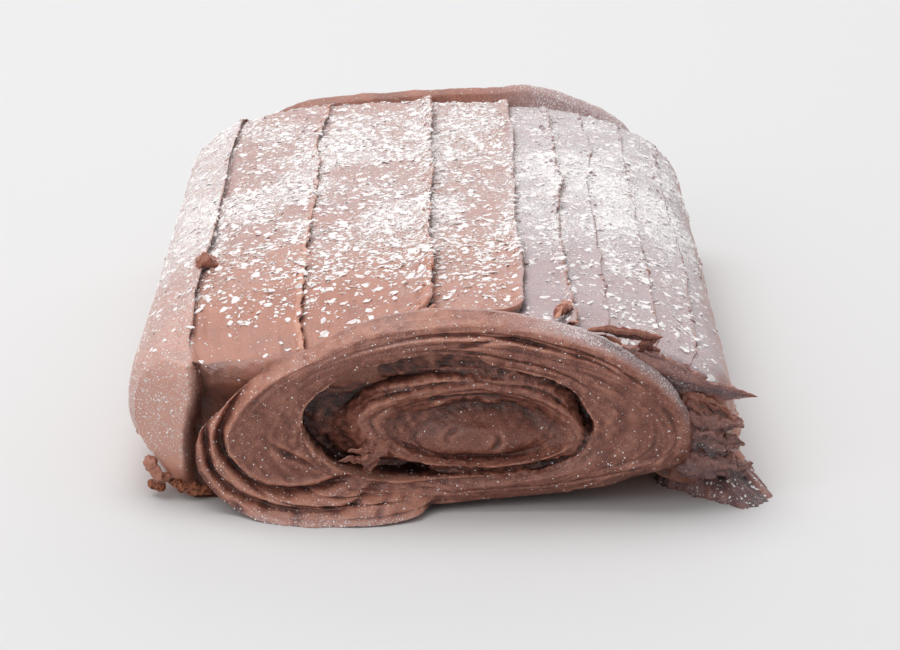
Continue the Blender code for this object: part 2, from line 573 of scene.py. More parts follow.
@dataclass(frozen=True)
class SpongeCrumb:
    """Moist chocolate sponge, torn off: warm brown and matt, with open pores that hold shadow."""

    name: str = "chocolate_sponge_crumb"
    pore: str = "54291a"
    crumb: str = "9c6144"
    pore_mm: float = 0.8
    pore_depth_mm: float = 0.3
    soft_mm: float = 2.0  # how deep light gets

    def build(self) -> bpy.types.Material:
        """Builds the material.

        Returns:
            The material.
        """
        material, tree, shader = start_material(self.name)
        place = add_node(tree, "ShaderNodeTexCoord").outputs["Object"]
        pores = pattern(tree, place, self.pore_mm, Detail=3.0)
        fill_sockets(tree, shader, Base_Color=ramp(tree, pores, (0.36, self.pore), (0.56, self.crumb)),
                     Roughness=0.85, Normal=bump(tree, pores, 0.7, self.pore_depth_mm),
                     Subsurface_Weight=0.2, Subsurface_Radius=(1.0, 0.4, 0.2),
                     Subsurface_Scale=self.soft_mm * MM)
        return material


@dataclass(frozen=True)
class IcingSugar:
    """Sieved icing sugar: a dead matt white powder, a little see-through at its edges."""

    name: str = "icing_sugar_powder"
    colour: str = "f4f1ef"
    hollow: str = "ded8d6"  # painted shade between its grains
    grain_mm: float = 0.25
    grain_depth_mm: float = 0.1

    def build(self) -> bpy.types.Material:
        """Builds the material.

        Returns:
            The material.
        """
        material, tree, shader = start_material(self.name)
        place = add_node(tree, "ShaderNodeTexCoord").outputs["Object"]
        grain = pattern(tree, place, self.grain_mm, Detail=3.0)
        fill_sockets(tree, shader, Base_Color=ramp(tree, grain, (0.3, self.hollow), (0.6, self.colour)),
                     Roughness=0.95, Specular_IOR_Level=0.2,
                     Normal=bump(tree, grain, 0.5, self.grain_depth_mm))
        return material


@dataclass(frozen=True)
class TableTop:
    """A pale painted table top, matt and almost white."""

    name: str = "pale_table"
    colour: str = "d2d1d0"

    def build(self) -> bpy.types.Material:
        """Builds the material.

        Returns:
            The material.
        """
        material, tree, shader = start_material(self.name)
        fill_sockets(tree, shader, Base_Color=linear(self.colour), Roughness=0.7, Specular_IOR_Level=0.2)
        return material


# ------------------------------------------------------------------------------ where things lie


@dataclass(frozen=True)
class Log:
    """Where the log lies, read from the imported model, in millimetres."""

    half_width_left: float = 74.7
    half_width_right: float = 74.0

    @property
    def middle(self) -> float:
        """X of the log's middle line."""
        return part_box("frosted_roll")[0].x / MM + self.half_width_left

    @property
    def front(self) -> float:
        """Y of the roll's front end."""
        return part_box("frosted_roll")[0].y / MM

    @property
    def length(self) -> float:
        """Length of the roll between its two ends."""
        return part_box("frosted_roll")[1].y / MM - self.front

    def to_frame(self, points: Array) -> Array:
        """Moves points from the maker's frame, in millimetres, to the model's, in metres."""
        return (np.asarray(points, float) + np.array([self.middle, self.front, 0.0])) * MM

    def make_closed(self, name: str, grid: Array, middles: Array, finish: bpy.types.Material,
                    slot: Slot, *replaced: str,
                    **attributes: tuple[Array, Sequence[float]]) -> bpy.types.Object:
        """Makes a closed piece: a grid round it and a fan over each of its ends.

        Args:
            name: The piece's name.
            grid: Rows and columns of points; the last column meets the first.
            middles: The points in the middle of the first row's fan and of the last row's.
            finish: The piece's material.
            slot: Its material slot.
            replaced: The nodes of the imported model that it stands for.
            attributes: Values on the grid and at the two middles, which the material may read.

        Returns:
            The piece.
        """
        points = self.to_frame(np.concatenate([grid.reshape(-1, 3), middles]))
        values = {key: np.concatenate([np.ravel(on_grid), at_middles])
                  for key, (on_grid, at_middles) in attributes.items()}
        piece = make_object(name, points, closed_faces(*grid.shape[:2]), finish, **values)
        mend_normals(piece)
        hand_over(piece, slot, *replaced)
        return piece


# ------------------------------------------------------------------------------------- the swirls


@dataclass(frozen=True)
class Loop:
    """A crest or a furrow that runs right round a swirl.

    Attributes:
        rows: Rows of points between this loop and the one outside it.
        roundness: 0 makes a sharp edge here and 1 a round one.
        rough: How crumbly the surface is here.
        points: X, Z and height towards the viewer, in order round the loop.
    """

    rows: int
    roundness: float
    rough: float
    points: tuple[tuple[float, float, float], ...]


@dataclass(frozen=True)
class Crease:
    """A furrow (or, with a negative depth, a ridge) that the knife left across a swirl's face."""

    depth: float
    width: float
    path: tuple[tuple[float, float], ...]
    taper: float = 0.15


FRONT_LOOPS = (
    # the heart's dome, its edge, and the dish round it
    Loop(12, 0.8, 0.1, ((17, 17.5, -2.6), (14, 19.5, -2.8), (7, 19.5, -3.2), (4, 17.5, -3.4), (7, 15.5, -3),
         (15, 15.5, -2.6))),
    Loop(12, 0.8, 0.1, ((22.5, 17, -3.4), (20, 20, -4), (13.5, 21.5, -4.8), (5.5, 21.5, -5),
         (0, 19.5, -4.8), (-2, 17, -4.2), (1, 14.5, -4), (9, 13.9, -3.8), (18.5, 14.8, -3.4))),
    Loop(20, 0.7, 0.8, ((29, 18, -4.6), (27, 21, -5.8), (23, 24, -7), (15, 26, -7.6), (8.5, 25.8, -7.6),
         (0.5, 24.5, -7), (-4.5, 21, -5.6), (-6, 17, -4.6), (-2, 14, -4.8), (4, 13, -5.4),
         (11.5, 12.8, -5.6), (19.5, 13.4, -5.2), (26.5, 15.8, -4.6))),
    # the crest of the inner turn, which is a thin lip below the heart
    Loop(16, 0.35, 0.5, ((35.5, 20.5, -1.6), (31.5, 25, -1.8), (25.5, 28, -2.4), (16.5, 30, -2.6),
         (10.5, 31, -2.2), (3.5, 30.5, -1.6), (-3.5, 29.5, -1.2), (-9.5, 28, -1.2), (-14.5, 26, -1.6),
         (-17.5, 23.5, -2), (-16, 20, -2), (-11.5, 16, -2), (-7.5, 13.6, -1.9), (-1.5, 12, -1.5),
         (8.5, 11.6, -1), (19.5, 12.2, -1), (27.5, 13.9, -1), (33, 16.5, -1.2))),
    # the foot of the inner turn, low on the left and in a deep hole below the left
    Loop(7, 0.5, 1.0, ((36.6, 19.2, -1.9), (36.4, 22, -7), (35.2, 25.4, -6.6), (32.2, 30.2, -6),
         (25.4, 33.6, -4.6), (17, 34.4, -4.2), (9, 35.6, -5.4), (2, 35.2, -6.4), (-6.5, 33.4, -7.6),
         (-14, 29.8, -8.2), (-20.5, 25.6, -8.4), (-24, 22, -8.2), (-24.5, 17.6, -8.4), (-21.5, 13, -9),
         (-14, 10.2, -13), (-7.5, 9.2, -13.5), (-3, 9.6, -10), (2, 10.2, -5), (8.5, 10, -4.2),
         (19.5, 10.5, -3.8), (27.5, 12, -3.4), (35, 15, -2.2))),
    # the foot of the outer band's inner edge, which the edge overhangs
    Loop(7, 0.2, 1.0, ((37.6, 19, -1.7), (38.2, 22, -7.2), (36.5, 25.3, -6.8), (33, 30.8, -6.2),
         (26.4, 34.3, -4.6), (17, 36.4, -3.6), (9, 38.8, -4.6), (-3, 39.2, -6), (-11, 37.8, -7.6),
         (-19.5, 35.2, -8.4), (-25, 31.7, -8.6), (-30, 27.2, -8.6), (-31.5, 22.8, -8.6),
         (-30.4, 19.2, -8.8), (-27.5, 14.9, -9.2), (-22.6, 11.2, -10), (-17, 8.9, -13), (-10, 8.1, -13.5),
         (-3.4, 8.3, -10), (3, 8.9, -4.6), (11.5, 9.2, -3.4), (19.5, 9.8, -3.2), (27.5, 11.3, -3),
         (35.2, 14.4, -2.1))),
    # that edge
    Loop(20, 0.35, 0.7, ((39, 19, -1), (37.5, 25, -0.6), (33, 31, 0), (26.5, 34.5, 0), (17, 36.5, -0.5),
         (9, 39.2, 0), (-3, 39.5, 0), (-11, 38, 0.2), (-19.5, 35.5, 0.5), (-25, 32, 0.5), (-30, 27.5, 0.5),
         (-31.5, 23, 0.5), (-30.5, 19.5, 0.3), (-28, 15, 0), (-23, 11.2, -0.5), (-17, 9, -1), (-10, 8, -1),
         (-3, 8, -1.5), (3, 8.5, -2), (11.5, 9, -2.2), (19.5, 9.6, -2.2), (27.5, 11.2, -2),
         (35.5, 14.5, -1.5))),
    # the middle of the outer band
    Loop(30, 1.0, 0.15, ((49, 20, 0.6), (46.5, 28.5, 0.8), (37, 35.5, 1), (25.5, 39.5, 1), (11.5, 42, 1),
         (-3, 42, 1), (-16, 39, 1), (-28, 34.5, 1.2), (-37, 28, 1.2), (-41.5, 21.5, 1.2), (-39.5, 15.5, 1),
         (-33, 11, 0.8), (-25, 7.8, 0.4), (-18, 6.8, 0.2), (-10, 6.2, 0), (-0.5, 6.3, -0.5),
         (11.5, 7, -0.6), (25.5, 8.5, -0.4), (37, 11.5, 0), (45.5, 15, 0.3))),
    # the crest of the rim, a narrow raised border on the right
    Loop(30, 0.7, 0.25, ((60.4, 18.5, 0.9), (58.6, 25.4, 0.8), (52.8, 32.6, 0.7), (45.8, 37.6, 0.4),
         (36, 41.9, -0.3), (23, 45, -0.8), (6.5, 46.5, -1), (-7.5, 45.5, -1), (-19.5, 42.5, -0.6),
         (-30, 37.5, 0), (-39.5, 32, 0.6), (-46, 26, 0.8), (-48.5, 20, 0.8), (-47.5, 15, 0.8),
         (-44, 10.5, 1), (-38, 6.5, 2), (-31, 4.5, 3.5), (-24, 4, 4.5), (-17, 4.5, 4.5), (-7.5, 5, 2.5),
         (-0.5, 5, 0), (16, 5.5, -1), (30, 6.5, -1), (44, 9.2, -0.4), (54.5, 12.4, 0.3))),
    Loop(14, 0.7, 0.4, ((62.5, 17.5, -3), (60.8, 26, -3), (54, 34.5, -3.5), (44.5, 40.5, -4.5),
         (30, 45.8, -5.5), (16, 48.4, -6), (4, 49.2, -6), (-7.5, 48.2, -6), (-19.5, 44.8, -5.5),
         (-31, 39, -4.5), (-43, 32, -3.5), (-51, 25, -3), (-56, 19, -2.5), (-57, 14, -2), (-56, 9.5, -2),
         (-53.5, 6, -1), (-47.5, 2, 2.5), (-40.5, 0.3, 7), (-26.5, 0, 10.5), (-17, 0.2, 10.5), (-5, 1, 7),
         (0.5, 2.2, 0), (16, 3, -3), (30, 4, -3.5), (44, 6.5, -3.5), (51.5, 9, -3.5), (60.5, 12, -3),
         (62.5, 16, -3))),
)

BACK_OUTLINE = Loop(0, 0.7, 0.4, (
    (61, 20, -4), (56, 41, -4), (43, 48.4, -4), (27, 52.8, -4.5), (14, 51.6, -4.5), (-6, 51, -4.5),
    (-21, 50, -4.5), (-41, 47, -4), (-54, 40, -4), (-60.5, 29, -4), (-61, 15, -4), (-54, 5, -3),
    (-45, 0, -2), (-16, 0, -2), (4, 0, -2), (24, 0, -3), (46, 0, -3), (57, 8, -4)))

FRONT_CREASES = (
    # between the two left-hand turns of the rim, and on under the fold at the foot
    Crease(3.0, 0.9, ((-31, 39), (-36.2, 36.7), (-43.3, 31.8), (-48.5, 25.2), (-51, 19), (-50.4, 15.5),
         (-48, 12), (-44.5, 8.8), (-40, 6.8), (-33.5, 6), (-27, 6.8), (-21.6, 8.4), (-17, 9.2))),
    # inside the thin outermost turn
    Crease(2.2, 0.8, ((-34.4, 39.4), (-44, 33), (-51.5, 27), (-54.6, 19.8), (-53.6, 12), (-49.6, 6.8),
         (-44, 4.2), (-38, 2.6), (-30.8, 2.1), (-22.8, 2.6), (-18.8, 3.6), (-15.3, 6), (-11.5, 8))),
    # a faint furrow where the knife dragged over the left of the band
    Crease(0.9, 0.7, ((-41.6, 20.3), (-40, 18.5), (-37.9, 16.8), (-33.2, 14.2), (-28.7, 12.2), (-24, 11)),
         0.5),
    # a shallow tear under the top of the rim
    Crease(0.9, 0.5, ((-2, 40.6), (5.4, 41.6), (10.4, 42.6), (14.8, 43.4), (18.4, 43.4), (25, 42.2),
         (32, 41.4), (39.5, 40.2)), 0.4),
    # a raised line low on the right
    Crease(-0.7, 0.7, ((40, 11.2), (49, 12), (53.4, 13), (56, 15.2), (57.4, 17.6), (57.6, 21)), 0.5),
    # where the knife lifted off the heart
    Crease(0.9, 0.8, ((13, 20.4), (15, 19.2), (15.8, 17.2), (14.4, 15), (11.3, 14)), 0.5),
    Crease(0.6, 0.7, ((9, 20.4), (5.4, 19.7), (3.3, 17.7), (5, 15.5)), 0.5),
    # layers that show down the slope of the inner turn
    Crease(-0.9, 0.6, ((-20.5, 21), (-19.5, 25), (-14, 29), (-6, 31.4), (3, 32.6), (13, 32.2), (22, 30.4)),
         0.3),
    Crease(0.8, 0.5, ((-22, 19), (-21, 25), (-14.6, 30), (-6, 32.6), (4, 34), (12, 33.6)), 0.3),
    Crease(0.7, 0.5, ((-12, 24), (-6, 26.4), (2, 28), (12, 28.4), (22, 26.6), (28, 23)), 0.4),
    Crease(0.6, 0.5, ((-12, 21), (-9, 17.5), (-4, 14.8), (1, 13.6)), 0.4),
    # puckers where the lip was pushed out over the table
    Crease(0.8, 1.3, ((-10.5, 8.4), (-13, 6.2), (-16.6, 4), (-21.8, 2.2)), 0.4),
    Crease(0.7, 1.0, ((-8.5, 7.2), (-10.6, 5), (-12.9, 2.8), (-14.4, 1.4)), 0.4),
    Crease(0.5, 1.1, ((-6, 6.2), (-6.6, 4.4), (-7.2, 2.8)), 0.4),
    # torn lumps above the heart
    Crease(-1.3, 0.9, ((-1.6, 25.2), (2.1, 26.4), (5.4, 26)), 0.4),
    Crease(-1.3, 0.8, ((10.8, 25.5), (13.6, 26.4), (17.2, 26)), 0.4),
)


@dataclass(frozen=True)
class Drag:
    """A thin line that the knife dragged along a turn of a swirl.

    Attributes:
        level: Between which loops it runs: 6.5 is half way from loop 6 to loop 7.
        start: The angle where it starts, in degrees from +X towards +Z.
        sweep: How many degrees it runs on.
        depth: Its depth, or with a minus sign its height.
        width: Its half width.
    """

    level: float
    start: float
    sweep: float
    depth: float
    width: float


FRONT_DRAGS = (
    # open layers under the top of the rim
    Drag(6.55, 38, 80, 0.7, 0.35),
    Drag(7.0, 28, 85, 0.35, 0.35),
    Drag(7.45, 42, 72, 1.1, 0.42),
    Drag(7.62, 30, 70, 0.7, 0.3),
    Drag(7.3, 60, 70, -0.35, 0.5),
    Drag(8.4, 20, 90, 0.25, 0.5),
    # the raised border of the band on the right
    Drag(7.72, 300, 95, 0.45, 0.6),
    Drag(7.35, 320, 60, 0.3, 0.5),
    # folds low on the left
    Drag(8.3, 196, 50, 0.9, 0.45),
    Drag(8.7, 205, 60, 0.6, 0.45),
    Drag(7.65, 204, 40, 0.8, 0.45),
    Drag(7.15, 215, 40, 0.4, 0.4),
    Drag(7.7, 255, 65, 0.5, 0.4),
    # lips that the knife left standing over the hole and at the edge of the inner turn
    Drag(6.02, 205, 85, -0.7, 0.3),
    Drag(3.0, 262, 95, -0.6, 0.35),
    # layers of the inner turn
    Drag(3.35, 20, 150, 0.8, 0.4),
    Drag(2.7, 5, 200, 0.5, 0.35),
    Drag(2.3, 200, 150, 0.4, 0.35),
    Drag(1.55, 150, 120, 0.35, 0.35),
    Drag(3.2, 190, 120, 0.4, 0.3),
)


@dataclass
class EndSwirl:
    """A spiral of frosting spread over one end of the log."""

    log: Log
    name: str = "front_swirl_frosting"
    node: str = "front_swirl"
    loops: tuple[Loop, ...] = FRONT_LOOPS
    creases: tuple[Crease, ...] = FRONT_CREASES
    drags: tuple[Drag, ...] = FRONT_DRAGS
    outline: Loop | None = None  # takes the place of the last loop, and the others spread with it
    centre: tuple[float, float] = (11.0, 18.6)
    half_width: float = 60.0  # of the ellipse that the points are spread along
    half_height: float = 27.0
    face: float = 12.0  # how far the face stands beyond the roll's end
    tallest: float = 20.0  # the most that anything stands above the face
    deepest: float = -14.0
    facing: float = -1.0
    end: float = 0.0  # where the roll's end lies
    spokes: int = 520
    seed: int = 11
    streak: float = 0.16  # height of the fine lines that the knife drags
    lumps: float = 0.28
    fine_drags: int = 46
    # the least and the greatest level, start, sweep, depth and width of the fine drags
    fine_spans: tuple[tuple[float, float], ...] = (
        (6.1, 8.9), (0, 360), (25, 110), (-0.14, 0.2), (0.25, 0.5))
    path_points: int = 60  # along a crease
    heart_rise: float = 0.2
    torn_edge: float = 0.004  # how far a ragged crest strays sideways, as a share of its reach
    first_rows: int = 10  # rows of points between the heart and the first loop
    rumple: float = 0.36  # height of the folds at the foot on the left
    rooted: float = 0.6  # how far the back reaches into the roll
    side_shares: tuple[float, ...] = (0.2, 0.4, 0.6, 0.8, 1.0)  # places of the side's rows
    side_slope: float = 0.05  # how much narrower the back is
    streaks_across: float = 40.0  # the streaks' pattern: its breadth over a reach of 1
    streaks_round: float = 60.0  # and its radius
    bare_tone: float = 0.52
    # painted shade down the crack between the inner turn and the outer band, on the right
    crack_shade: float = -0.3
    collar_tone: float = 0.2  # where sugar has caught on the top of the rim
    collar_dust: float = 0.8
    collar_film: float = 0.55
    foot_dust: float = 0.6  # low on the left, near the sugar on the table
    foot_film: float = 0.2

    def loop_curve(self, loop: Loop, turns: Array) -> tuple[Array, Array]:
        """Reads a loop at every spoke.

        Args:
            loop: The loop.
            turns: The angle of each spoke.

        Returns:
            The loop's distance from the centre, as a share of the ellipse, and its height.
        """
        across, up, height = np.array(loop.points, float).T
        across = (across - self.centre[0]) / self.half_width
        up = (up - self.centre[1]) / self.half_height
        reach, height = round_centre(across, up, turns, np.hypot(across, up), height)
        return reach, height

    def build_rows(self, turns: Array) -> tuple[Array, Array, Array, Array]:
        """Spreads rows of points from the centre to the outline.

        Args:
            turns: The angle of each spoke.

        Returns:
            Reach, height and roughness at each row and spoke, and each row's level.
        """
        curves = [self.loop_curve(loop, turns) for loop in self.loops]
        reach = np.stack([np.zeros_like(turns)] + [c[0] for c in curves])
        heart = np.full_like(turns, curves[0][1].mean() + self.heart_rise)
        height = np.stack([heart] + [c[1] for c in curves])
        if self.outline:
            spread = self.loop_curve(self.outline, turns)[0] / reach[-1]
            reach = reach * (1 + (spread - 1) * (reach / reach[-1]) ** 1.5)
        rough = np.array([0.0] + [loop.rough for loop in self.loops])
        round_ = np.array([0.0] + [loop.roundness for loop in self.loops])
        counts = [self.first_rows] + [loop.rows for loop in self.loops[:-1]]
        tangents = []
        for grid in (reach, height):
            middle = (grid[2:] - grid[:-2]) / 2
            ends = np.concatenate([grid[1:2] - grid[:1], middle, grid[-1:] - grid[-2:-1]])
            tangents.append(ends * round_[:, None])
        rows: list[list[Array]] = [[], [], []]
        levels = []
        for k, count in enumerate(counts):
            for t in np.arange(1 if k == 0 else 0, count) / count:
                a, b, c, d = cubic_weights(t)
                for store, grid, slope in zip(rows, (reach, height), tangents):
                    store.append(a * grid[k] + b * grid[k + 1] + c * slope[k] + d * slope[k + 1])
                rows[2].append(np.full_like(turns, (1 - t) * rough[k] + t * rough[k + 1]))
                levels.append(k - 1 + t)
        for store, last in zip(rows, (reach[-1], height[-1], np.full_like(turns, rough[-1]))):
            store.append(last)
        levels.append(len(self.loops) - 1.0)
        return np.stack(rows[0]), np.stack(rows[1]), np.stack(rows[2]), np.array(levels)

    def crease_relief(self, x: Array, z: Array) -> Array:
        """Works out the height that the creases add over the face.

        Args:
            x: Each point's X.
            z: Each point's Z.

        Returns:
            The height at each point.
        """
        points = np.stack([x.ravel(), z.ravel()], axis=1)
        relief = np.zeros(len(points))
        for crease in self.creases:
            distance, share = nearest_on_path(points, smooth_path(crease.path, self.path_points))
            fade = ease(share, 0.0, crease.taper) * ease(1 - share, 0.0, crease.taper)
            relief -= crease.depth * fade * bell(distance, crease.width)
            beside = bell(np.abs(distance) - 2 * crease.width, crease.width)
            relief += 0.25 * crease.depth * fade * beside
        return relief.reshape(x.shape)

    def drag_relief(self, reach: Array, levels: Array, turns: Array, spans: Array) -> Array:
        """Works out the height that the knife's thin lines add.

        Args:
            reach: Each point's reach.
            levels: Each row's level.
            turns: The angle of each spoke.
            spans: The length that a reach of 1 has along each spoke.

        Returns:
            The height at each point.
        """
        dice = np.random.default_rng(self.seed)
        lines = list(self.drags)
        for _ in range(self.fine_drags):
            lines.append(Drag(*(dice.uniform(*span) for span in self.fine_spans)))
        wobble = Noise(self.seed + 5)
        degrees = np.degrees(turns)
        relief = np.zeros_like(reach)
        for i, line in enumerate(lines):
            lane = np.full_like(degrees, 17.0 * i)
            level = line.level + 0.05 * wobble.at((degrees, lane), (14.0, 5.0))
            row = np.clip(np.searchsorted(levels, level) - 1, 0, len(levels) - 2)
            part = (level - levels[row]) / (levels[row + 1] - levels[row])
            spoke = np.arange(len(turns))
            middle = reach[row, spoke] * (1 - part) + reach[row + 1, spoke] * part
            share = (degrees - line.start) % 360 / line.sweep
            fade = ease(share, 0.0, 0.25) * ease(1 - share, 0.0, 0.25)
            relief -= line.depth * fade * bell((reach - middle) * spans, line.width)
        return relief

    def build(self, finish: bpy.types.Material) -> bpy.types.Object:
        """Builds the swirl as one closed mesh.

        Args:
            finish: Its material.

        Returns:
            The piece.
        """
        turns = np.linspace(-math.pi, math.pi, self.spokes, endpoint=False)
        reach, height, rough, levels = self.build_rows(turns)
        noise, fine = Noise(self.seed), Noise(self.seed + 1)
        ring_x, ring_z = np.cos(turns) * self.half_width, np.sin(turns) * self.half_height
        ragged = fine.at((ring_x, ring_z), (0.9, 0.9)) + fine.at((ring_x, ring_z), (2.5, 2.5))
        reach = reach * (1.0 + self.torn_edge * rough * ragged)
        x = self.centre[0] + reach * ring_x
        z = self.centre[1] + reach * ring_z
        height = np.clip(height, self.deepest, self.tallest) + self.crease_relief(x, z)
        height = height + self.drag_relief(reach, levels, turns, np.hypot(ring_x, ring_z))
        grid = np.stack([x, self.end + self.facing * (self.face + height), z], axis=2)
        normals = surface_normals(grid) * -self.facing
        across = reach * self.streaks_across + 0.8 * noise.at((x, z), (9.0, 9.0))
        spin = (across, np.cos(turns) * self.streaks_round + 0 * x,
                np.sin(turns) * self.streaks_round + 0 * x)
        streaks = fine.at(spin, (0.5, 14.0, 14.0)) + 0.9 * noise.at(spin, (1.2, 22.0, 22.0))
        patches = 0.6 + 0.4 * noise.at((x, z), (11.0, 7.0))
        calm = ease(np.stack([levels] * self.spokes, axis=1), 0.6, 2.2)
        lumps = noise.rough((x, height, z), 7.0)
        crumbs = fine.rough((x, height, z), 1.5)
        rumpled = bell(z, 4.5) * (1 - ease(x, -5.0, 8.0)) * noise.rough((x, z + 40), 3.6)
        push = self.streak * streaks * patches * calm + self.rumple * rumpled
        push = push + self.lumps * lumps * calm + (0.06 + 0.3 * rough ** 2) * crumbs
        grid = grid + normals * push[..., None]
        grid[..., 2] = np.maximum(grid[..., 2], 0.0)
        return self.close(grid, levels, push - soften(push, 6), finish)

    def close(self, grid: Array, levels: Array, streaks: Array,
              finish: bpy.types.Material) -> bpy.types.Object:
        """Adds the swirl's side and back to its face and makes the piece.

        Args:
            grid: The face's points, row by row from the heart outwards.
            levels: Each row's level.
            streaks: How far each point stands out of its surroundings.
            finish: The piece's material.

        Returns:
            The piece.
        """
        rim = grid[-1]
        root = self.end - self.facing * self.rooted
        side = []
        for share in self.side_shares:
            ring = rim.copy()
            ring[:, 1] = rim[:, 1] * (1 - share) + root * share
            inward = 1 - self.side_slope * share ** 2
            ring[:, 0] = self.centre[0] + (rim[:, 0] - self.centre[0]) * inward
            ring[:, 2] = np.where(rim[:, 2] < 1.0, rim[:, 2],
                                  self.centre[1] + (rim[:, 2] - self.centre[1]) * inward)
            side.append(ring)
        rows = np.concatenate([grid, np.stack(side)])
        tone, dust, film = self.looks(rows, levels, streaks)
        heart = grid[0].mean(axis=0)
        back = np.array([self.centre[0], root, self.centre[1]])
        pale = float(tone[0].mean())
        return self.log.make_closed(self.name, rows, np.stack([heart, back]), finish, Slot.SWIRL,
                                    self.node, tone=(tone, (pale, pale)), dust=(dust, (0.3, 0.0)),
                                    film=(film, (0.0, 0.0)))

    def looks(self, rows: Array, levels: Array, streaks: Array) -> tuple[Array, Array, Array]:
        """Works out how the frosting looks: painted shade in hollows and cracks, and a painted highlight on
        crests and where the rim faces up.

        Args:
            rows: The points of the face, from the heart outwards, and of the side.
            levels: The level of each row of the face.
            streaks: How far each point of the face stands out of its surroundings.

        Returns:
            How pale the frosting is at each point, its painted light and shade included, and how much
            powder and film lie on it.
        """
        on_face, on_side = len(levels), len(rows) - len(levels)
        depth = self.facing * (rows[:on_face, :, 1] - self.end)
        face = np.concatenate([depth, np.stack([depth[-1]] * on_side)])
        level = np.concatenate([levels, np.full(on_side, levels[-1] + 0.5)])[:, None]
        broad = np.clip(0.6 * (soften(face, 9) - face), -0.9, 0.3)
        hollow = broad + 0.8 * (soften(face, 3) - face)
        up = soften(np.clip(surface_normals(rows)[..., 2] * -self.facing, 0, 1), 4)
        # painted shade in hollows and deep places, and a painted highlight on crests
        tone = self.bare_tone - 0.5 * hollow - 0.02 * np.clip(self.face - 3.5 - face, 0, 9)
        # more painted shade in the deepest places, and a painted highlight where the rim faces up
        tone = tone - 0.15 * np.clip(self.face - 10.5 - face, 0, 4) + 0.3 * up * ease(level, 6.4, 8.0)
        # painted shade down the crack
        crack = ease(level, 3.5, 4.0) * (1 - ease(level, 5.1, 5.7)) * ease(rows[..., 0], 16.0, 30.0)
        tone = tone + self.crack_shade * crack
        sheltered = ease(face, self.face - 7.0, self.face - 2.5)
        # painted shade in the dips of the streaks and a painted highlight on what stands out
        tone[:on_face] += 0.8 * np.clip(streaks, -0.25, 0.4) * (0.45 + 0.55 * sheltered[:on_face])
        crest = np.clip(-hollow, 0.0, 0.6)
        dust = (0.16 + 0.2 * up + 0.5 * crest) * (0.3 + 0.7 * sheltered) * (0.5 + 0.5 * ease(level, 5, 7))
        collar = ease(level, 7.8, 8.6) * ease(up, 0.1, 0.6) * ease(rows[..., 0], 12.0, 36.0)
        foot = bell(rows[..., 2] - 0.6, 1.2) * (1 - ease(rows[..., 0], -4.0, 8.0))
        tone = np.clip(tone + self.collar_tone * collar, 0.0, 1.0)
        dust = np.maximum(0.6 * dust, np.maximum(self.collar_dust * collar, self.foot_dust * foot))
        return tone, dust, self.collar_film * collar + self.foot_film * foot


# ---------------------------------------------------------------------------------------- the roll


@dataclass(frozen=True)
class Stroke:
    """The right-hand edge of one lengthwise pass of the palette knife.

    Attributes:
        x: Where the edge runs, across the log.
        crest: How far the edge stands up over the next stroke.
        wander: How far it strays sideways.
        width: How broad the raised edge is.
        hook: How far its front end curls back to the left.
        torn: How ragged it is, from 0 to 1; a ragged edge also gets a painted highlight.
    """

    x: float
    crest: float
    wander: float
    width: float
    hook: float = 0.0
    torn: float = 0.5


STROKES = (
    Stroke(-59.8, 1.7, 0.5, 1.8, 0.0, 0.15),
    Stroke(-33.0, 0.8, 1.8, 1.0, 0.0, 1.0),
    Stroke(-2.0, 2.7, 1.0, 1.5, 4.0, 0.5),
    Stroke(21.5, 1.8, 0.7, 1.4, 11.0, 0.25),
    Stroke(33.0, 1.4, 1.8, 1.2, 0.0, 1.1),
    Stroke(43.5, 0.4, 1.6, 2.2, 0.0, 0.25),
    Stroke(55.0, 0.5, 1.6, 1.8, 0.0, 0.25),
    Stroke(65.5, 0.6, 1.0, 1.6, 0.0, 0.4),
)

# How thickly the sugar lies across the log near its front, by X
SUGAR_ACROSS = ((-75, 0.15), (-62, 0.3), (-57, 0.8), (-33, 0.9), (-2, 1.0), (20, 0.95), (24, 0.3),
                (30, 0.35), (33, 1.0), (37, 0.4), (42, 0.4), (46, 1.0), (53, 0.95), (57, 0.35),
                (60, 0.8), (65, 0.75), (69, 0.35), (75, 0.2))
# and along it, by Y
SUGAR_ALONG = ((0, 0.34), (12, 0.48), (30, 0.54), (55, 0.85), (90, 1.2), (160, 1.2), (200, 0.95),
               (232, 0.65))
# How far the front end of the coat's top droops, by X
FRONT_DROOP = ((-76, 0), (-68, 3), (-61, 8), (-56.5, 9.5), (-30, 8.5), (-10, 4.5), (8, 1.5),
               (30, 2.5), (60, 2.5), (75, 1))


def read_curve(curve: Sequence[tuple[float, float]], wanted: Array) -> Array:
    """Reads a curve given as pairs of place and value."""
    table = np.array(curve, float)
    return through(table[:, 0], table[:, 1], np.ravel(wanted)).reshape(np.shape(wanted))


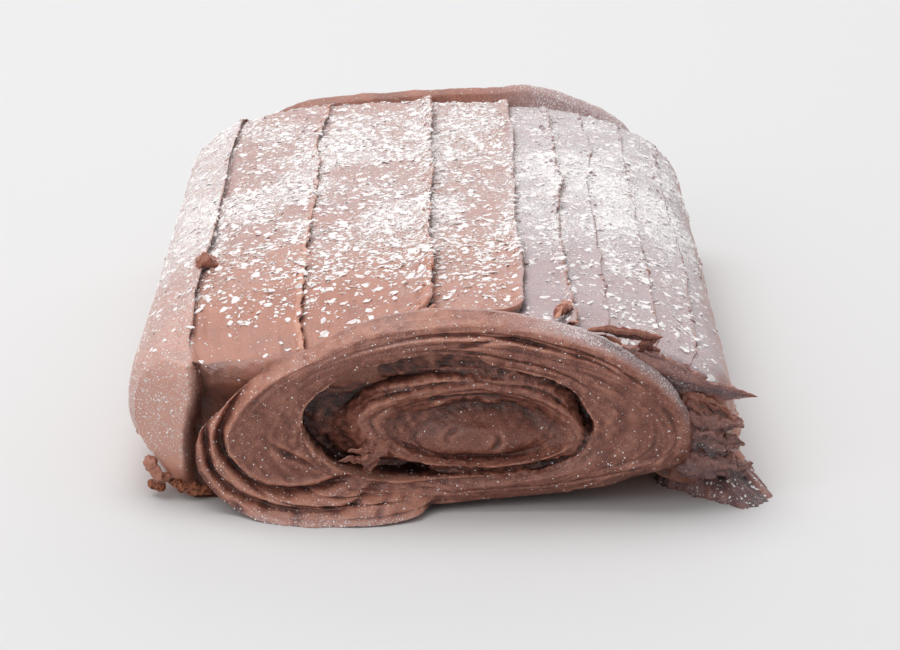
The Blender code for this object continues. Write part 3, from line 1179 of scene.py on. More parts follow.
@dataclass
class RollCoat:
    """The frosting coat over the roll: long strokes over the top, smooth flaps down the sides."""

    log: Log
    strokes: tuple[Stroke, ...] = STROKES
    waist: float = 20.0
    height_at_front: float = 46.8
    height_at_back: float = 49.3
    power_left: float = 2.9
    power_right: float = 2.4
    droop_length: float = 34.0
    rows: int = 222
    per_mm: float = 1.9  # points for each millimetre across the top
    side_points: int = 40
    seed: int = 23
    streak: float = 0.13
    side_edges: tuple[float, ...] = (14.0, 7.5, 2.5)
    side_stroke: float = 1.4  # how far the strokes along a side stand out
    back_corner: float = 9.0  # radius of the upright corners at the back
    base_points: int = 12
    core: tuple[float, float] = (2.0, 19.0)  # X and Z of the middles of the two ends
    # the first, the last and the number of each end's outer rings, then the rings inside them
    front_shares: tuple[float, float, int] = (0.994, 0.78, 26)
    back_shares: tuple[float, float, int] = (0.994, 0.78, 6)
    inner_shares: tuple[float, ...] = (0.74, 0.68, 0.6, 0.4)
    cap_tone: float = 0.42
    flap_edge: float = -59.4  # X of the edge of the flap that wraps the front left corner
    flap_notch: float = 2.4  # how far that edge swings to the right
    notch_height: float = 28.5  # the height at which it swings furthest
    flap_swell: float = 9.0  # how far the front stands forward where the flap wraps it
    shoulder_swell: float = 7.0  # at the left shoulder
    collar_swell: float = 9.0  # on the right
    recess: float = 2.5  # how far the rest of the front is set back
    foot_recess: float = 21.0  # how far its foot is set back on the right
    foot_tuck: float = 7.5  # how far the flap's foot is tucked in
    lumps: float = 0.35
    half_width: float = 75.0
    # on the mauve strokes on the right (where the dust and the film are partly a painted sheen), on
    # the flap and far back: how thick the dust and the film are
    haze_and_sheen_dust: float = 0.3
    flap_dust: float = 0.4
    far_dust: float = 0.32
    mauve_film: float = 0.62
    flap_film: float = 0.24
    far_film: float = 0.25
    thickest_film: float = 0.8

    def outline_height(self, x: Array, y: Array) -> Array:
        """Works out the height of the roll's plain outline.

        Args:
            x: Where across the log.
            y: How far behind its front.

        Returns:
            The height at each place.
        """
        left = x < 0
        half = np.where(left, self.log.half_width_left, self.log.half_width_right)
        power = np.where(left, self.power_left, self.power_right)
        top = self.height_at_front + (self.height_at_back - self.height_at_front) * y / self.log.length
        share = np.minimum(np.abs(x) / half, 1.0) ** power
        return self.waist + (top - self.waist) * (1 - share) ** (1 / power)

    def edge_lines(self, y: Array, noise: Noise) -> tuple[Array, Array]:
        """Lays out the strokes' edges.

        Args:
            y: Each row's distance behind the front.
            noise: How the edges stray.

        Returns:
            Where each edge runs and how far it stands up, row by row.
        """
        places, crests = [], []
        for i, stroke in enumerate(self.strokes):
            lane = np.full_like(y, 37.0 * i)
            wander = noise.at((y, lane), (45.0, 5.0)) + 0.3 * noise.at((y, lane), (9.0, 5.0))
            ragged = 0.5 * noise.at((y, lane), (2.6, 5.0)) + 0.7 * noise.at((y, lane), (14.0, 5.0))
            places.append(stroke.x + stroke.wander * wander - stroke.hook * (1 - ease(y, -2, 15)) ** 2)
            crests.append(stroke.crest * np.clip(0.9 + 1.3 * stroke.torn * ragged, 0.08, 1.8))
        crests[0] = crests[0] * (0.15 + 0.85 * ease(y, 2.0, 16.0))  # where the flap wraps the corner
        return np.stack(places), np.stack(crests)

    def top_columns(self, y: Array, noise: Noise) -> tuple[Array, Array, Array, Array]:
        """Lays out the points across the top.

        Args:
            y: Each row's distance behind the front.
            noise: How the strokes' edges stray.

        Returns:
            The points' X, their relief, how torn they are and how much painted shadow the raised edge to
            their left casts on them.
        """
        places, crests = self.edge_lines(y, noise)
        left = np.full((1, len(y)), -self.log.half_width_left)
        right = np.full((1, len(y)), self.log.half_width_right)
        edges = np.concatenate([left, places, right])
        nothing = np.zeros((1, len(y)))
        rise = np.concatenate([nothing, crests, nothing])
        xs, reliefs, torn, edge_shadow = [], [], [], []
        for k in range(len(edges) - 1):
            span = edges[k + 1] - edges[k]
            count = max(8, int(abs(span.mean()) * self.per_mm))
            shares = np.linspace(0.0, 1.0, count)
            shares = 0.35 * shares + 0.65 * (0.5 - 0.5 * np.cos(math.pi * shares))
            stroke = self.strokes[min(k, len(self.strokes) - 1)]
            ragged = stroke.torn if k < len(self.strokes) else 0.0
            beside = 0.3 if k else 0.0
            for share in shares:
                from_right = (1 - share) * span
                from_left = share * span
                swell = 0.45 * np.exp(-from_right / 5.0) + 0.5 * bell(from_right - 0.5, stroke.width)
                hollow = 0.5 * np.exp(-from_left / 4.0) + 0.3 * bell(from_left, 0.9)
                xs.append(edges[k] + span * share + 0.4 * rise[k + 1] * bell(from_right, 0.9)
                          - 0.3 * rise[k] * bell(from_left, 0.5))
                reliefs.append(rise[k + 1] * swell - rise[k] * hollow)
                torn.append(ragged * bell(from_right, 1.3) + beside * bell(from_left, 1.0))
                # painted shadow just right of a raised edge
                edge_shadow.append(np.clip(rise[k] / 1.5, 0, 1.2) * bell(from_left, 1.5))
        return np.stack(xs, 1), np.stack(reliefs, 1), np.stack(torn, 1), np.stack(edge_shadow, 1)

    def side_places(self, y: Array) -> tuple[Array, Array, Array]:
        """Spreads points down a side.

        Args:
            y: Each row's distance behind the front.

        Returns:
            How far down the side each point is, from 0 to 1, its height, and its row's distance.
        """
        share = np.linspace(0, 1, self.side_points + 1)[1:][None, :]
        return share, self.waist * (1 - share) + 0 * y[:, None], y[:, None] + 0 * share

    def right_side(self, y: Array, noise: Noise) -> tuple[Array, Array]:
        """Lays out the right side, which is torn and lumpy near the front.

        Args:
            y: Each row's distance behind the front.
            noise: The lumps and how the strokes stray.

        Returns:
            X and Z of its points, from the top down.
        """
        share, z, row = self.side_places(y)
        front = 1 - ease(row, 20.0, 60.0)
        x = self.log.half_width_right * (1 - 0.02 * share ** 2) + 0 * z
        x = x + (0.8 + 1.8 * front) * noise.rough((row, z), 7.0) * ease(share, 0.0, 0.4)
        return x + self.side_strokes(row, z, noise) * (1 - 0.6 * front), z

    def left_side(self, y: Array, noise: Noise) -> tuple[Array, Array]:
        """Lays out the left side, a smooth flap that tucks in at its foot near the front.

        Args:
            y: Each row's distance behind the front.
            noise: The lumps and how the strokes stray.

        Returns:
            X and Z of its points, from the top down.
        """
        share, z, row = self.side_places(y)
        tucked = bell(row, 18.0) * self.foot_tuck * share ** 1.2
        x = -self.log.half_width_left * (1 - 0.09 * share ** 2) + tucked
        x = x + 0.8 * noise.rough((row, z), 14.0) * ease(share, 0.0, 0.4)
        return x - self.side_strokes(row, z, noise) * ease(row, 30.0, 90.0), z

    def side_strokes(self, y: Array, z: Array, noise: Noise) -> Array:
        """Works out how far the strokes along a side stand out; each is thickest at its lower edge.

        Args:
            y: Each point's distance behind the front.
            z: Its height.
            noise: How the edges stray.

        Returns:
            The relief at each point.
        """
        relief = np.zeros_like(z)
        for i, edge in enumerate(self.side_edges):
            lane = 300.0 + 40 * i + 0 * y
            above = z - edge - 1.4 * noise.at((y, lane), (50.0, 5.0))
            above = above - 0.4 * noise.at((y, lane), (8.0, 5.0))
            thick = self.side_stroke * np.exp(-np.clip(above, 0, None) / 3.0)
            relief += thick * ease(above, -0.4, 0.4)
        return relief * ease(self.waist - z, 0.0, 4.0)

    def build(self, finish: bpy.types.Material) -> bpy.types.Object:
        """Builds the coat as one closed mesh.

        Args:
            finish: Its material.

        Returns:
            The piece.
        """
        noise, fine = Noise(self.seed), Noise(self.seed + 1)
        length = self.log.length
        share = np.linspace(0, 1, self.rows)
        y = length * (0.7 * share + 0.3 * (0.5 - 0.5 * np.cos(math.pi * share)))
        x, relief, torn, edge_shadow = self.top_columns(y, noise)
        down = y[:, None]
        inward = 1 - np.clip(np.abs(x) / 74.5, 0, 1) ** 6
        droop = read_curve(FRONT_DROOP, x) * (1 - ease(down, -self.droop_length, self.droop_length)) * 2
        z = self.outline_height(x, down) + relief * (0.2 + 0.8 * inward) - droop * inward
        right = self.right_side(y, noise)
        left = self.left_side(y, noise)
        under = np.linspace(0, 1, self.base_points + 2)[1:-1][None, :]
        base_x = right[0][:, -1:] * (1 - under) + left[0][:, -1:] * under
        xs = np.concatenate([x, right[0], base_x, left[0][:, ::-1]], axis=1)
        zs = np.concatenate([z, right[1], 0 * base_x, left[1][:, ::-1]], axis=1)
        flank = 0.4 * (1 - ease(down, 20.0, 60.0)) + 0 * right[0]
        torns = np.concatenate([torn, flank, 0 * base_x, 0.1 + 0 * left[0]], axis=1)
        rows = down + 0 * xs
        grid = np.stack([xs, rows, zs], axis=2)
        normals = -surface_normals(grid)
        around = np.cumsum(np.hypot(np.diff(xs, axis=1, prepend=xs[:, :1]),
                                    np.diff(zs, axis=1, prepend=zs[:, :1])), axis=1)
        across = around.mean(axis=0)[None, :] + 0.6 * noise.at((xs, rows), (12.0, 30.0))
        streaks = fine.at((across, rows), (0.8, 26.0)) + 0.8 * noise.at((across, rows), (2.0, 40.0))
        lumps = noise.rough((xs, rows, zs), 18.0)
        crumbs = fine.rough((xs, rows, zs), 1.9)
        push = self.streak * streaks + self.lumps * lumps + (0.04 + 0.45 * torns) * crumbs
        push = push * (zs > 0.01)
        grid = grid + normals * push[..., None]
        grid[..., 1] += self.tuck(xs) * np.exp(-down / 20.0) * (1 - ease(zs, 0.0, 12.0))
        grid[..., 0] *= 1.0 - 0.03 * (bell(down, 5.0) + bell(length - down, 5.0))
        turn = np.clip((self.back_corner - length + down) / self.back_corner, 0, 1)
        outer = ease(np.abs(grid[..., 0]), 55.0, 70.0)
        grid[..., 0] *= 1 - self.back_corner / self.half_width * (1 - np.sqrt(1 - turn ** 2)) * outer
        above = np.clip(grid[..., 2] - self.waist, 0.0, None)
        grid[..., 2] -= above * 0.08 * bell(length - down, 4.0)
        grid[..., 2] = np.maximum(grid[..., 2], 0.0)
        # painted light and shade in the tone: a painted highlight on torn edges and on what stands out, and
        # painted shade in dips, right of each raised edge and on the recessed parts of the sides
        shade = np.concatenate([edge_shadow, np.zeros_like(xs[:, edge_shadow.shape[1]:])], axis=1)
        stand = (np.abs(xs) - soften(np.abs(xs), 4)) * (zs < self.waist - 1) * (zs > 0.5)
        tone = 0.5 + 0.35 * torns + 0.25 * (push - soften(push, 6)) - 0.5 * shade
        tone = np.clip(tone + 0.35 * np.clip(stand, -0.8, 0.4), 0, 1)
        return self.close(grid, tone, torns, finish)

    def tuck(self, x: Array) -> Array:
        """How far the foot of the coat's front end is set back, at x."""
        return self.foot_recess * ease(x, -15.0, 20.0) * (1 - ease(x, 62.0, 72.0))

    def past_flap(self, x: Array, z: Array) -> Array:
        """How far points lie to the right of the flap's edge."""
        return x - self.flap_edge - self.flap_notch * bell(z - self.notch_height, 7.0)

    def bulge(self, ring: Array) -> Array:
        """Works out how far the front end of the coat swells forward.

        Args:
            ring: Points of that end.

        Returns:
            The swelling at each point.
        """
        x, z = ring[:, 0], ring[:, 2]
        shoulder = self.shoulder_swell * ease(z, 22.0, 32.0) * ease(x, -58.0, -53.0)
        shoulder = shoulder * (1 - ease(x, -20.0, 10.0))
        corner = np.sqrt(np.clip((x + 73.5) / 13.0, 0, 1)) * (1 - 0.35 * ease(z, 30.0, 42.0))
        flap = self.flap_swell * corner * (1 - ease(self.past_flap(x, z), -1.2, 1.2)) * ease(z, 2.0, 10.0)
        collar = self.collar_swell * ease(x, 38.0, 54.0) * ease(z, 9.0, 20.0)
        return shoulder + flap + collar - self.recess

    def cap(self, ring: Array, front: bool) -> Array:
        """Rings that run from an end's edge towards its middle.

        Args:
            ring: The coat's last ring of points at that end.
            front: Whether this is the front end.

        Returns:
            The rings, from the edge inwards.
        """
        noise = Noise(self.seed + 3)
        middle = np.array([self.core[0], 0.0, self.core[1]])
        steps = []
        on_base = ring[:, 2] < 0.01
        outer_shares = np.linspace(*(self.front_shares if front else self.back_shares))
        for share in (*outer_shares, *self.inner_shares):
            inner = middle + (ring - middle) * share
            inner[:, 2] = np.where(on_base, 0.02 * (1 - share), inner[:, 2])
            blunt = 12.0 - 7.5 * (1 - ease(inner[:, 0], -62.0, -56.0))
            swell = (1 - share ** blunt) ** 0.5
            out = self.bulge(inner) if front else np.full(len(ring), -1.0)
            rough = noise.rough((inner[:, 0], inner[:, 2]), 6.0)
            out = out + (0.5 + 1.3 * ease(inner[:, 0], 45, 60)) * rough * swell
            out = out + 0.3 * noise.rough((inner[:, 0] + 90, inner[:, 2]), 1.7, 2) * swell
            inner[:, 1] = ring[:, 1] + (-1 if front else 1) * out * swell
            if front:
                inner[:, 1] = np.where(on_base, np.maximum(inner[:, 1], self.tuck(inner[:, 0])),
                                       inner[:, 1])
            steps.append(inner)
        return np.stack(steps)

    def lie_of_sugar(self, points: Array, up: Array) -> Array:
        """Works out how thickly sugar lies.

        Args:
            points: The coat's points.
            up: How far each faces up, from 0 to 1.

        Returns:
            The thickness at each point, where 1 is a full cover.
        """
        x, y = points[..., 0], points[..., 1]
        even = ease(y, 60.0, 150.0)
        across = read_curve(SUGAR_ACROSS, np.clip(x, -self.half_width, self.half_width))
        across = across * (1 - 0.7 * even) + 0.7 * even * (0.35 + 0.65 * across ** 0.3)
        drifts = Noise(self.seed + 7).rough((x, 0.6 * y), 12.0)
        patchy = np.clip(0.8 + 0.75 * drifts, 0.22, 1.0)
        along = read_curve(SUGAR_ALONG, np.clip(y, 0, 232))
        return across * along * patchy * ease(up, 0.15, 0.85) * ease(points[..., 2], 6.0, 14.0)

    def close(self, grid: Array, tone: Array, torn: Array,
              finish: bpy.types.Material) -> bpy.types.Object:
        """Closes the two ends of the coat and makes the piece.

        Args:
            grid: The coat's points, row by row from its front.
            tone: How pale the frosting is at each.
            torn: How ragged it is at each.
            finish: The piece's material.

        Returns:
            The piece.
        """
        front = self.cap(grid[0], True)[::-1]
        back = self.cap(grid[-1], False)
        rows = np.concatenate([front, grid, back])
        caps = [np.full(end.shape[:2], self.cap_tone) for end in (front, back)]
        burrs = np.concatenate([0 * caps[0], torn, 0 * caps[1]]) * ease(rows[..., 2], 6.0, 14.0)
        past = self.past_flap(front[..., 0], front[..., 2])
        # the flap paler, and the recess to its right darker as painted shade
        caps[0] += 0.25 * (1 - ease(past, -0.8, 0.8)) - 0.12 * bell(past - 5.4, 5)
        # a painted highlight along the flap's edge
        caps[0] += 0.4 * bell(past + 1.2, 0.6) * ease(front[..., 2], 6.0, 14.0)
        # a band of painted shade just right of the flap's edge
        caps[0] -= 0.2 * bell(past - 2.0, 1.2) * (1 - ease(front[..., 2], 28.0, 36.0))
        looks = self.looks(rows, np.concatenate([caps[0], tone, caps[1]]))
        middles = [[self.core[0], rows[i, :, 1].mean(), self.core[1]] for i in (0, -1)]
        nothing = (0.0, 0.0)
        return self.log.make_closed("roll_coat", rows, np.array(middles), finish, Slot.ROLL,
                                    "frosted_roll", tone=(looks.pop("tone"), (0.3, 0.3)),
                                    **{key: (values, nothing) for key, values in looks.items()},
                                    burrs=(np.clip(burrs, 0, 1), nothing))

    def looks(self, rows: Array, tone: Array) -> dict[str, Array]:
        """Works out how the coat looks: dusted over its top, its flap and its far part, with a painted
        sheen on the strokes on the right.

        Args:
            rows: The coat's points, its ends among them.
            tone: How pale the bare frosting is at each.

        Returns:
            By name, how pale the coat is at each point, and how much dust, sugar, film and powder
            lie on it.
        """
        up = np.clip(-surface_normals(rows)[..., 2], 0, 1)
        sugar = self.lie_of_sugar(rows, up)
        # the up-facing strokes on the right: a haze of sugar and a painted sheen, over frosting painted a
        # little darker
        haze_and_sheen = ease(rows[..., 0], 20.5, 23.0) * ease(up, 0.3, 0.8)
        flap = 1 - ease(self.past_flap(rows[..., 0], rows[..., 2]), -0.6, 0.9)
        flap = flap * ease(rows[..., 2], 3.0, 16.0)
        far = ease(rows[..., 1], 40.0, 110.0)
        film = self.mauve_film * haze_and_sheen + self.flap_film * flap + self.far_film * far * ease(up, 0.3, 0.8)
        return {"tone": tone - 0.1 * haze_and_sheen + 0.26 * flap,
                "dust": (0.1 + 0.45 * sugar + self.haze_and_sheen_dust * haze_and_sheen + self.flap_dust * flap
                         + self.far_dust * far),
                "sugar": sugar, "film": np.clip(film, 0, self.thickest_film),
                "powder": np.maximum(sugar, 0.8 * flap)}


# ------------------------------------------------------------------------- torn scraps and smears


@dataclass(frozen=True)
class Tear:
    """A scrap of frosting that the knife tore and drew out along a line.

    Attributes:
        name: The piece's name.
        line: Places along its middle, as X, Y and Z.
        breadths: Half its breadth at each of those places.
        depths: Half its thickness there.
        broad: The direction in which it is broad.
        rough: How far its surface is torn up.
        slot: The material slot that it belongs to.
        combed: How high the ridges stand that run along it.
        dusted: How thickly powder clings to it.
    """

    name: str
    line: tuple[tuple[float, float, float], ...]
    breadths: tuple[float, ...]
    depths: tuple[float, ...]
    broad: tuple[float, float, float] = (0.0, 0.0, 1.0)
    rough: float = 0.45
    slot: Slot = Slot.SWIRL
    combed: float = 0.0
    dusted: float = 0.25


TEARS = (
    # the curled peak over the right of the front swirl, and the stem that it hangs from
    Tear("curled_peak", ((37.0, -5.0, 43.9), (42, -7.0, 44.4), (47, -8.7, 44.1), (51.5, -9.6, 43.7),
         (55.0, -10, 43.6)), (0.6, 1.6, 2.3, 2.2, 0.5), (0.35, 0.6, 0.75, 0.7, 0.3), (0.1, 0.7, -0.7), 0.45,
         combed=0.35),
    Tear("curled_peak_stem", ((52.5, -3.5, 36.5), (51.4, -5.0, 38.5), (51.0, -7.4, 41), (53.6, -9.2, 43.0)),
         (3.2, 2.2, 1.5, 0.8), (1.4, 1.1, 0.8, 0.5), (1.0, 0.2, 0.2), 0.6, combed=0.4),
    # the long blade that runs from there down the rim and points to the right
    Tear("side_peak", ((44, -4.5, 39.4), (51, -6.0, 36.7), (57, -7.2, 33.9), (63, -8.4, 31.6),
         (68.5, -9, 30.2), (73, -9.3, 29.5), (78.0, -9.6, 28.6)), (1.0, 2.3, 3.3, 3.3, 2.1, 1.5, 0.15),
         (0.8, 1.2, 1.3, 1.1, 0.7, 0.5, 0.15), (0.3, -0.3, 1.0), 0.5, combed=0.6, dusted=0.6),
    Tear("side_fringe", ((60.0, -7.0, 28.2), (64.5, -9.3, 27.2), (68, -9.0, 25.0), (71.4, -6.5, 22.2),
         (73, -4, 19.8)), (2.2, 2.2, 2.0, 1.4, 0.5), (0.6, 0.6, 0.6, 0.5, 0.3), (0.8, -0.1, 0.6), 0.8,
         combed=0.5),
    # torn layers between the front swirl's right rim and the foot
    Tear("side_layer_high", ((58, -4, 24.6), (64, -7.2, 23.2), (69.5, -6.0, 21.4), (75.0, -2, 19.6)),
         (2.4, 3.3, 2.9, 0.8), (1.4, 1.7, 1.3, 0.7), (0.45, 0.3, 1.0), 1.0, combed=0.6, dusted=0.5),
    Tear("side_layer_middle", ((58, -4, 18.4), (65, -7.8, 17.6), (70.0, -5.5, 15.2), (75.8, -3, 14.6)),
         (2.6, 3.4, 2.8, 0.7), (1.4, 1.8, 1.4, 0.7), (-0.2, 0.3, 1.0), 1.1, combed=0.6, dusted=0.55),
    Tear("side_layer_low", ((57, -3, 12.6), (64, -7.4, 11.6), (71.5, -6, 10.0), (78.0, -2, 9.4)),
         (2.4, 3.4, 2.6, 0.5), (1.4, 1.8, 1.4, 0.6), (0.3, 0.3, 1.0), 1.1, combed=0.6, dusted=0.55),
    # the torn end of the inner turn, which hangs jagged over the hole in the front swirl
    Tear("torn_end", ((-12.5, -9.2, 18.5), (-14.2, -10.8, 15.6), (-15.4, -11.6, 13.2),
         (-16.2, -12.0, 10.6)), (2.2, 3.0, 2.4, 0.3), (1.0, 1.2, 1.0, 0.3), (1.0, 0.1, 0.3), 0.9,
         combed=0.5),
    Tear("torn_end_tooth_low", ((-13.5, -10.8, 13.4), (-17, -11.8, 13.2), (-19.6, -12.0, 13.8),
         (-22.6, -12.3, 13.2)), (1.5, 1.2, 0.8, 0.15), (0.9, 0.7, 0.5, 0.15), (0.1, 0.2, 1.0), 0.8,
         combed=0.4),
    Tear("torn_end_tooth_high", ((-13.5, -10.4, 15.8), (-16.6, -11.4, 15.6), (-18.6, -11.8, 15.9),
         (-20.4, -12.0, 15.5)), (1.4, 1.0, 0.6, 0.15), (0.9, 0.6, 0.4, 0.15), (0.1, 0.2, 1.0), 0.8,
         combed=0.4),
    # lumps where strokes end at the front of the top
    Tear("stroke_end_lump", ((-3.4, 2.6, 45.2), (0.2, 0.6, 46.9), (3.8, 1.4, 46.6)), (1.0, 1.4, 0.8),
         (0.8, 1.0, 0.5), (0.0, 0.4, 1.0), 0.6, Slot.ROLL),
    Tear("ridge_end_lump", ((29.4, 1.4, 45.0), (31.2, 4.4, 46.1), (32.6, 9.0, 46.2), (32.4, 13, 45.4)),
         (0.9, 1.3, 1.1, 0.5), (0.8, 1.2, 1.0, 0.4), (0.6, 0.0, 0.8), 0.7, Slot.ROLL),
    Tear("shoulder_lump", ((-61.5, 61, 42.2), (-58.6, 60.6, 43.4), (-55.8, 62, 42.6)), (1.2, 2.1, 1.0),
         (1.1, 1.9, 1.0), (0.0, 0.0, 1.0), 0.7, Slot.ROLL),
    # crumbs at the foot on the left
    Tear("left_foot_lump", ((-70.2, 3, 9.8), (-68.4, -0.2, 7.6), (-66.5, -1.2, 5.6), (-64, 0, 4.6)),
         (0.8, 1.4, 1.5, 1.0), (1.0, 1.5, 1.6, 1.0), (-0.5, 0.0, 0.8), 0.8, Slot.ROLL),
    Tear("left_foot_scrap", ((-64.5, 1.5, 4.2), (-61.5, -0.6, 3.4), (-57.5, -1.6, 2.7), (-53.5, -0.5, 2.2)),
         (0.7, 1.2, 1.1, 0.8), (1.0, 1.4, 1.3, 0.9), (0.0, 0.6, 0.8), 0.8, Slot.CRUMB),
    Tear("left_foot_crumb", ((-69.4, 3, 3.4), (-67.6, 1.0, 2.6), (-65.4, 1.6, 1.6)), (0.5, 1.1, 0.5),
         (0.7, 1.1, 0.6), (0.0, 0.6, 0.8), 0.8, Slot.CRUMB),
)


@dataclass
class TornScrap:
    """One tear, made as a closed and crumpled loft."""

    log: Log
    tear: Tear
    rows: int = 56
    spokes: int = 40
    crumple_mm: float = 1.9
    rib_mm: float = 0.45  # from one ridge along it to the next
    jag_mm: float = 0.9  # from one tooth of its edges to the next
    thin_mm: float = 0.6  # where it is thinner, it is torn up less
    seed: int = 41

    def build(self, finish: bpy.types.Material) -> bpy.types.Object:
        """Builds the scrap.

        Args:
            finish: Its material.

        Returns:
            The piece.
        """
        tear = self.tear
        share = np.linspace(0, 1, self.rows)
        knots = np.linspace(0, 1, len(tear.line))
        line = smooth_path(tear.line, self.rows)
        ends = np.sqrt(np.clip(1 - (2 * share - 1) ** 8, 0, 1)) + 0.02
        breadth = through(knots, np.array(tear.breadths, float), share) * ends
        depth = through(knots, np.array(tear.depths, float), share) * ends
        run = np.gradient(line, axis=0)
        run /= np.linalg.norm(run, axis=1, keepdims=True)
        broad = np.array(tear.broad) - run * (run @ np.array(tear.broad))[:, None]
        broad /= np.linalg.norm(broad, axis=1, keepdims=True)
        thin = np.cross(run, broad)
        turn = np.linspace(0, TAU, self.spokes, endpoint=False)
        grid = (line[:, None] + (breadth[:, None] * np.cos(turn))[..., None] * broad[:, None]
                + (depth[:, None] * np.sin(turn))[..., None] * thin[:, None])
        noise = Noise(self.seed + len(tear.name))
        places = np.moveaxis(grid, 2, 0)
        rough = np.stack([noise.rough(tuple(places + 50 * axis), self.crumple_mm) for axis in range(3)],
                         axis=2)
        outward = grid - line[:, None]
        outward /= np.linalg.norm(outward, axis=2, keepdims=True)
        length = np.linalg.norm(np.diff(line, axis=0), axis=1).sum()
        girth = np.abs(turn[None, :] - math.pi) * 1.6 + 0 * grid[..., 0]
        along = share[:, None] * length + 0 * girth
        ribs = noise.at((girth, along), (self.rib_mm, 9.0))
        jags = noise.at((along, np.sign(np.cos(turn)) + 0 * girth), (self.jag_mm, 0.5))
        slim = np.minimum(1.0, depth / self.thin_mm)[:, None, None]
        grid = grid + tear.rough * rough * slim
        grid = grid + tear.combed * slim * (ribs + jags * np.cos(turn) ** 6)[..., None] * outward
        grid[..., 2] = np.maximum(grid[..., 2], 0.0)
        # painted light and shade: a painted highlight on thin edges and on the ribs' tops, painted shade on
        # the underside
        edge = np.abs(np.cos(turn))[None, :] ** 3 + 0 * grid[..., 0]
        thinness = np.clip(1.3 - depth, 0.0, 1.0)[:, None]
        tone = 0.52 + 0.2 * rough.mean(axis=2) + 0.45 * edge * thinness + 0.4 * tear.combed * ribs
        tone = np.clip(tone - 0.28 * np.clip(-outward[..., 2], 0, 1), 0, 1)
        dust = 0.6 * tear.dusted
        film = float(0.4 * ease(np.array(tear.dusted), 0.25, 1.0))
        return self.log.make_closed(tear.name, grid, line[[0, -1]], finish, tear.slot,
                                    tone=(tone, (0.5, 0.8)),
                                    dust=(np.full_like(tone, dust), (dust, dust)),
                                    film=(np.full_like(tone, film), (film, film)))


@dataclass
class FootSmear:
    """Frosting that has run out over the table on the right, combed into slanting ridges."""

    log: Log
    centre: tuple[float, float] = (67.0, 9.0)
    outline: tuple[tuple[float, float], ...] = (
        (82.6, -2.6), (79.5, -6.4), (76.4, -8.6), (71.6, -6.4), (66.4, -1.6), (60.4, 4.0), (55.0, 11.0),
        (56.0, 22.0), (62.0, 34.0), (72.0, 40.0), (77.0, 32.0), (79.6, 22.0), (80.6, 12.0), (82.8, 4.0))
    height: float = 8.5
    slant_deg: float = -38.0  # which way the ridges run, from +X
    ridge_height: float = 1.7
    torn_height: float = 0.5
    edge_height: float = 0.25
    sugared: float = 0.5
    rows: int = 60
    spokes: int = 220
    seed: int = 71

    def build(self, finish: bpy.types.Material) -> bpy.types.Object:
        """Builds the smear.

        Args:
            finish: Its material.

        Returns:
            The piece.
        """
        noise, fine = Noise(self.seed), Noise(self.seed + 1)
        corners = (np.array(self.outline) - np.array(self.centre)).T
        turns = np.linspace(-math.pi, math.pi, self.spokes, endpoint=False)
        reach, = round_centre(*corners, turns, np.hypot(*corners))
        ring = np.cos(turns) * 30, np.sin(turns) * 30
        reach = reach + 0.9 * fine.at(ring, (1.6, 1.6)) + 0.8 * noise.at(ring, (4.0, 4.0)) - 0.6
        share = np.linspace(0, 1, self.rows + 1)[1:, None]
        x = self.centre[0] + share * reach * np.cos(turns)
        y = self.centre[1] + share * reach * np.sin(turns)
        slant = math.radians(self.slant_deg)
        along = x * math.cos(slant) + y * math.sin(slant)
        across = y * math.cos(slant) - x * math.sin(slant) + 0.8 * noise.at((x, y), (7.0, 7.0))
        ridges = noise.at((across, along), (2.6, 16.0)) + 0.6 * fine.at((across, along), (1.1, 9.0))
        torn = fine.rough((x, y), 1.8)
        fall = (1 - share ** 2.6) ** 0.75
        lean = 1 - 0.4 * ease(x, 68, 84) - 0.35 * (1 - ease(y, -8, 8))
        z = fall * (self.height * lean + self.ridge_height * ridges + self.torn_height * torn)
        z = np.maximum(z, self.edge_height * (1 - share ** 8))
        grid = np.stack([x, y, z], axis=2)
        skirt = grid[-1].copy()
        skirt[:, 2] = 0.0
        grid = np.concatenate([grid, skirt[None]])
        # a painted highlight on the tops of the ridges and painted shade between them
        tone = np.clip(0.32 + 0.3 * ridges + 0.15 * torn, 0, 1)
        tone = np.concatenate([tone, tone[-1:]])
        middles = np.array([[*self.centre, float(grid[0, :, 2].mean())], [*self.centre, 0.0]])
        layers = {key: (np.full_like(tone, share * self.sugared), (share * self.sugared, 0.0))
                  for key, share in (("dust", 0.5), ("film", 0.36), ("sugar", 1.0))}
        return self.log.make_closed("right_foot_smear", grid, middles, finish, Slot.ROLL,
                                    tone=(tone, (0.4, 0.4)), **layers)


# ----------------------------------------------------------------------------- sugar and crumbs


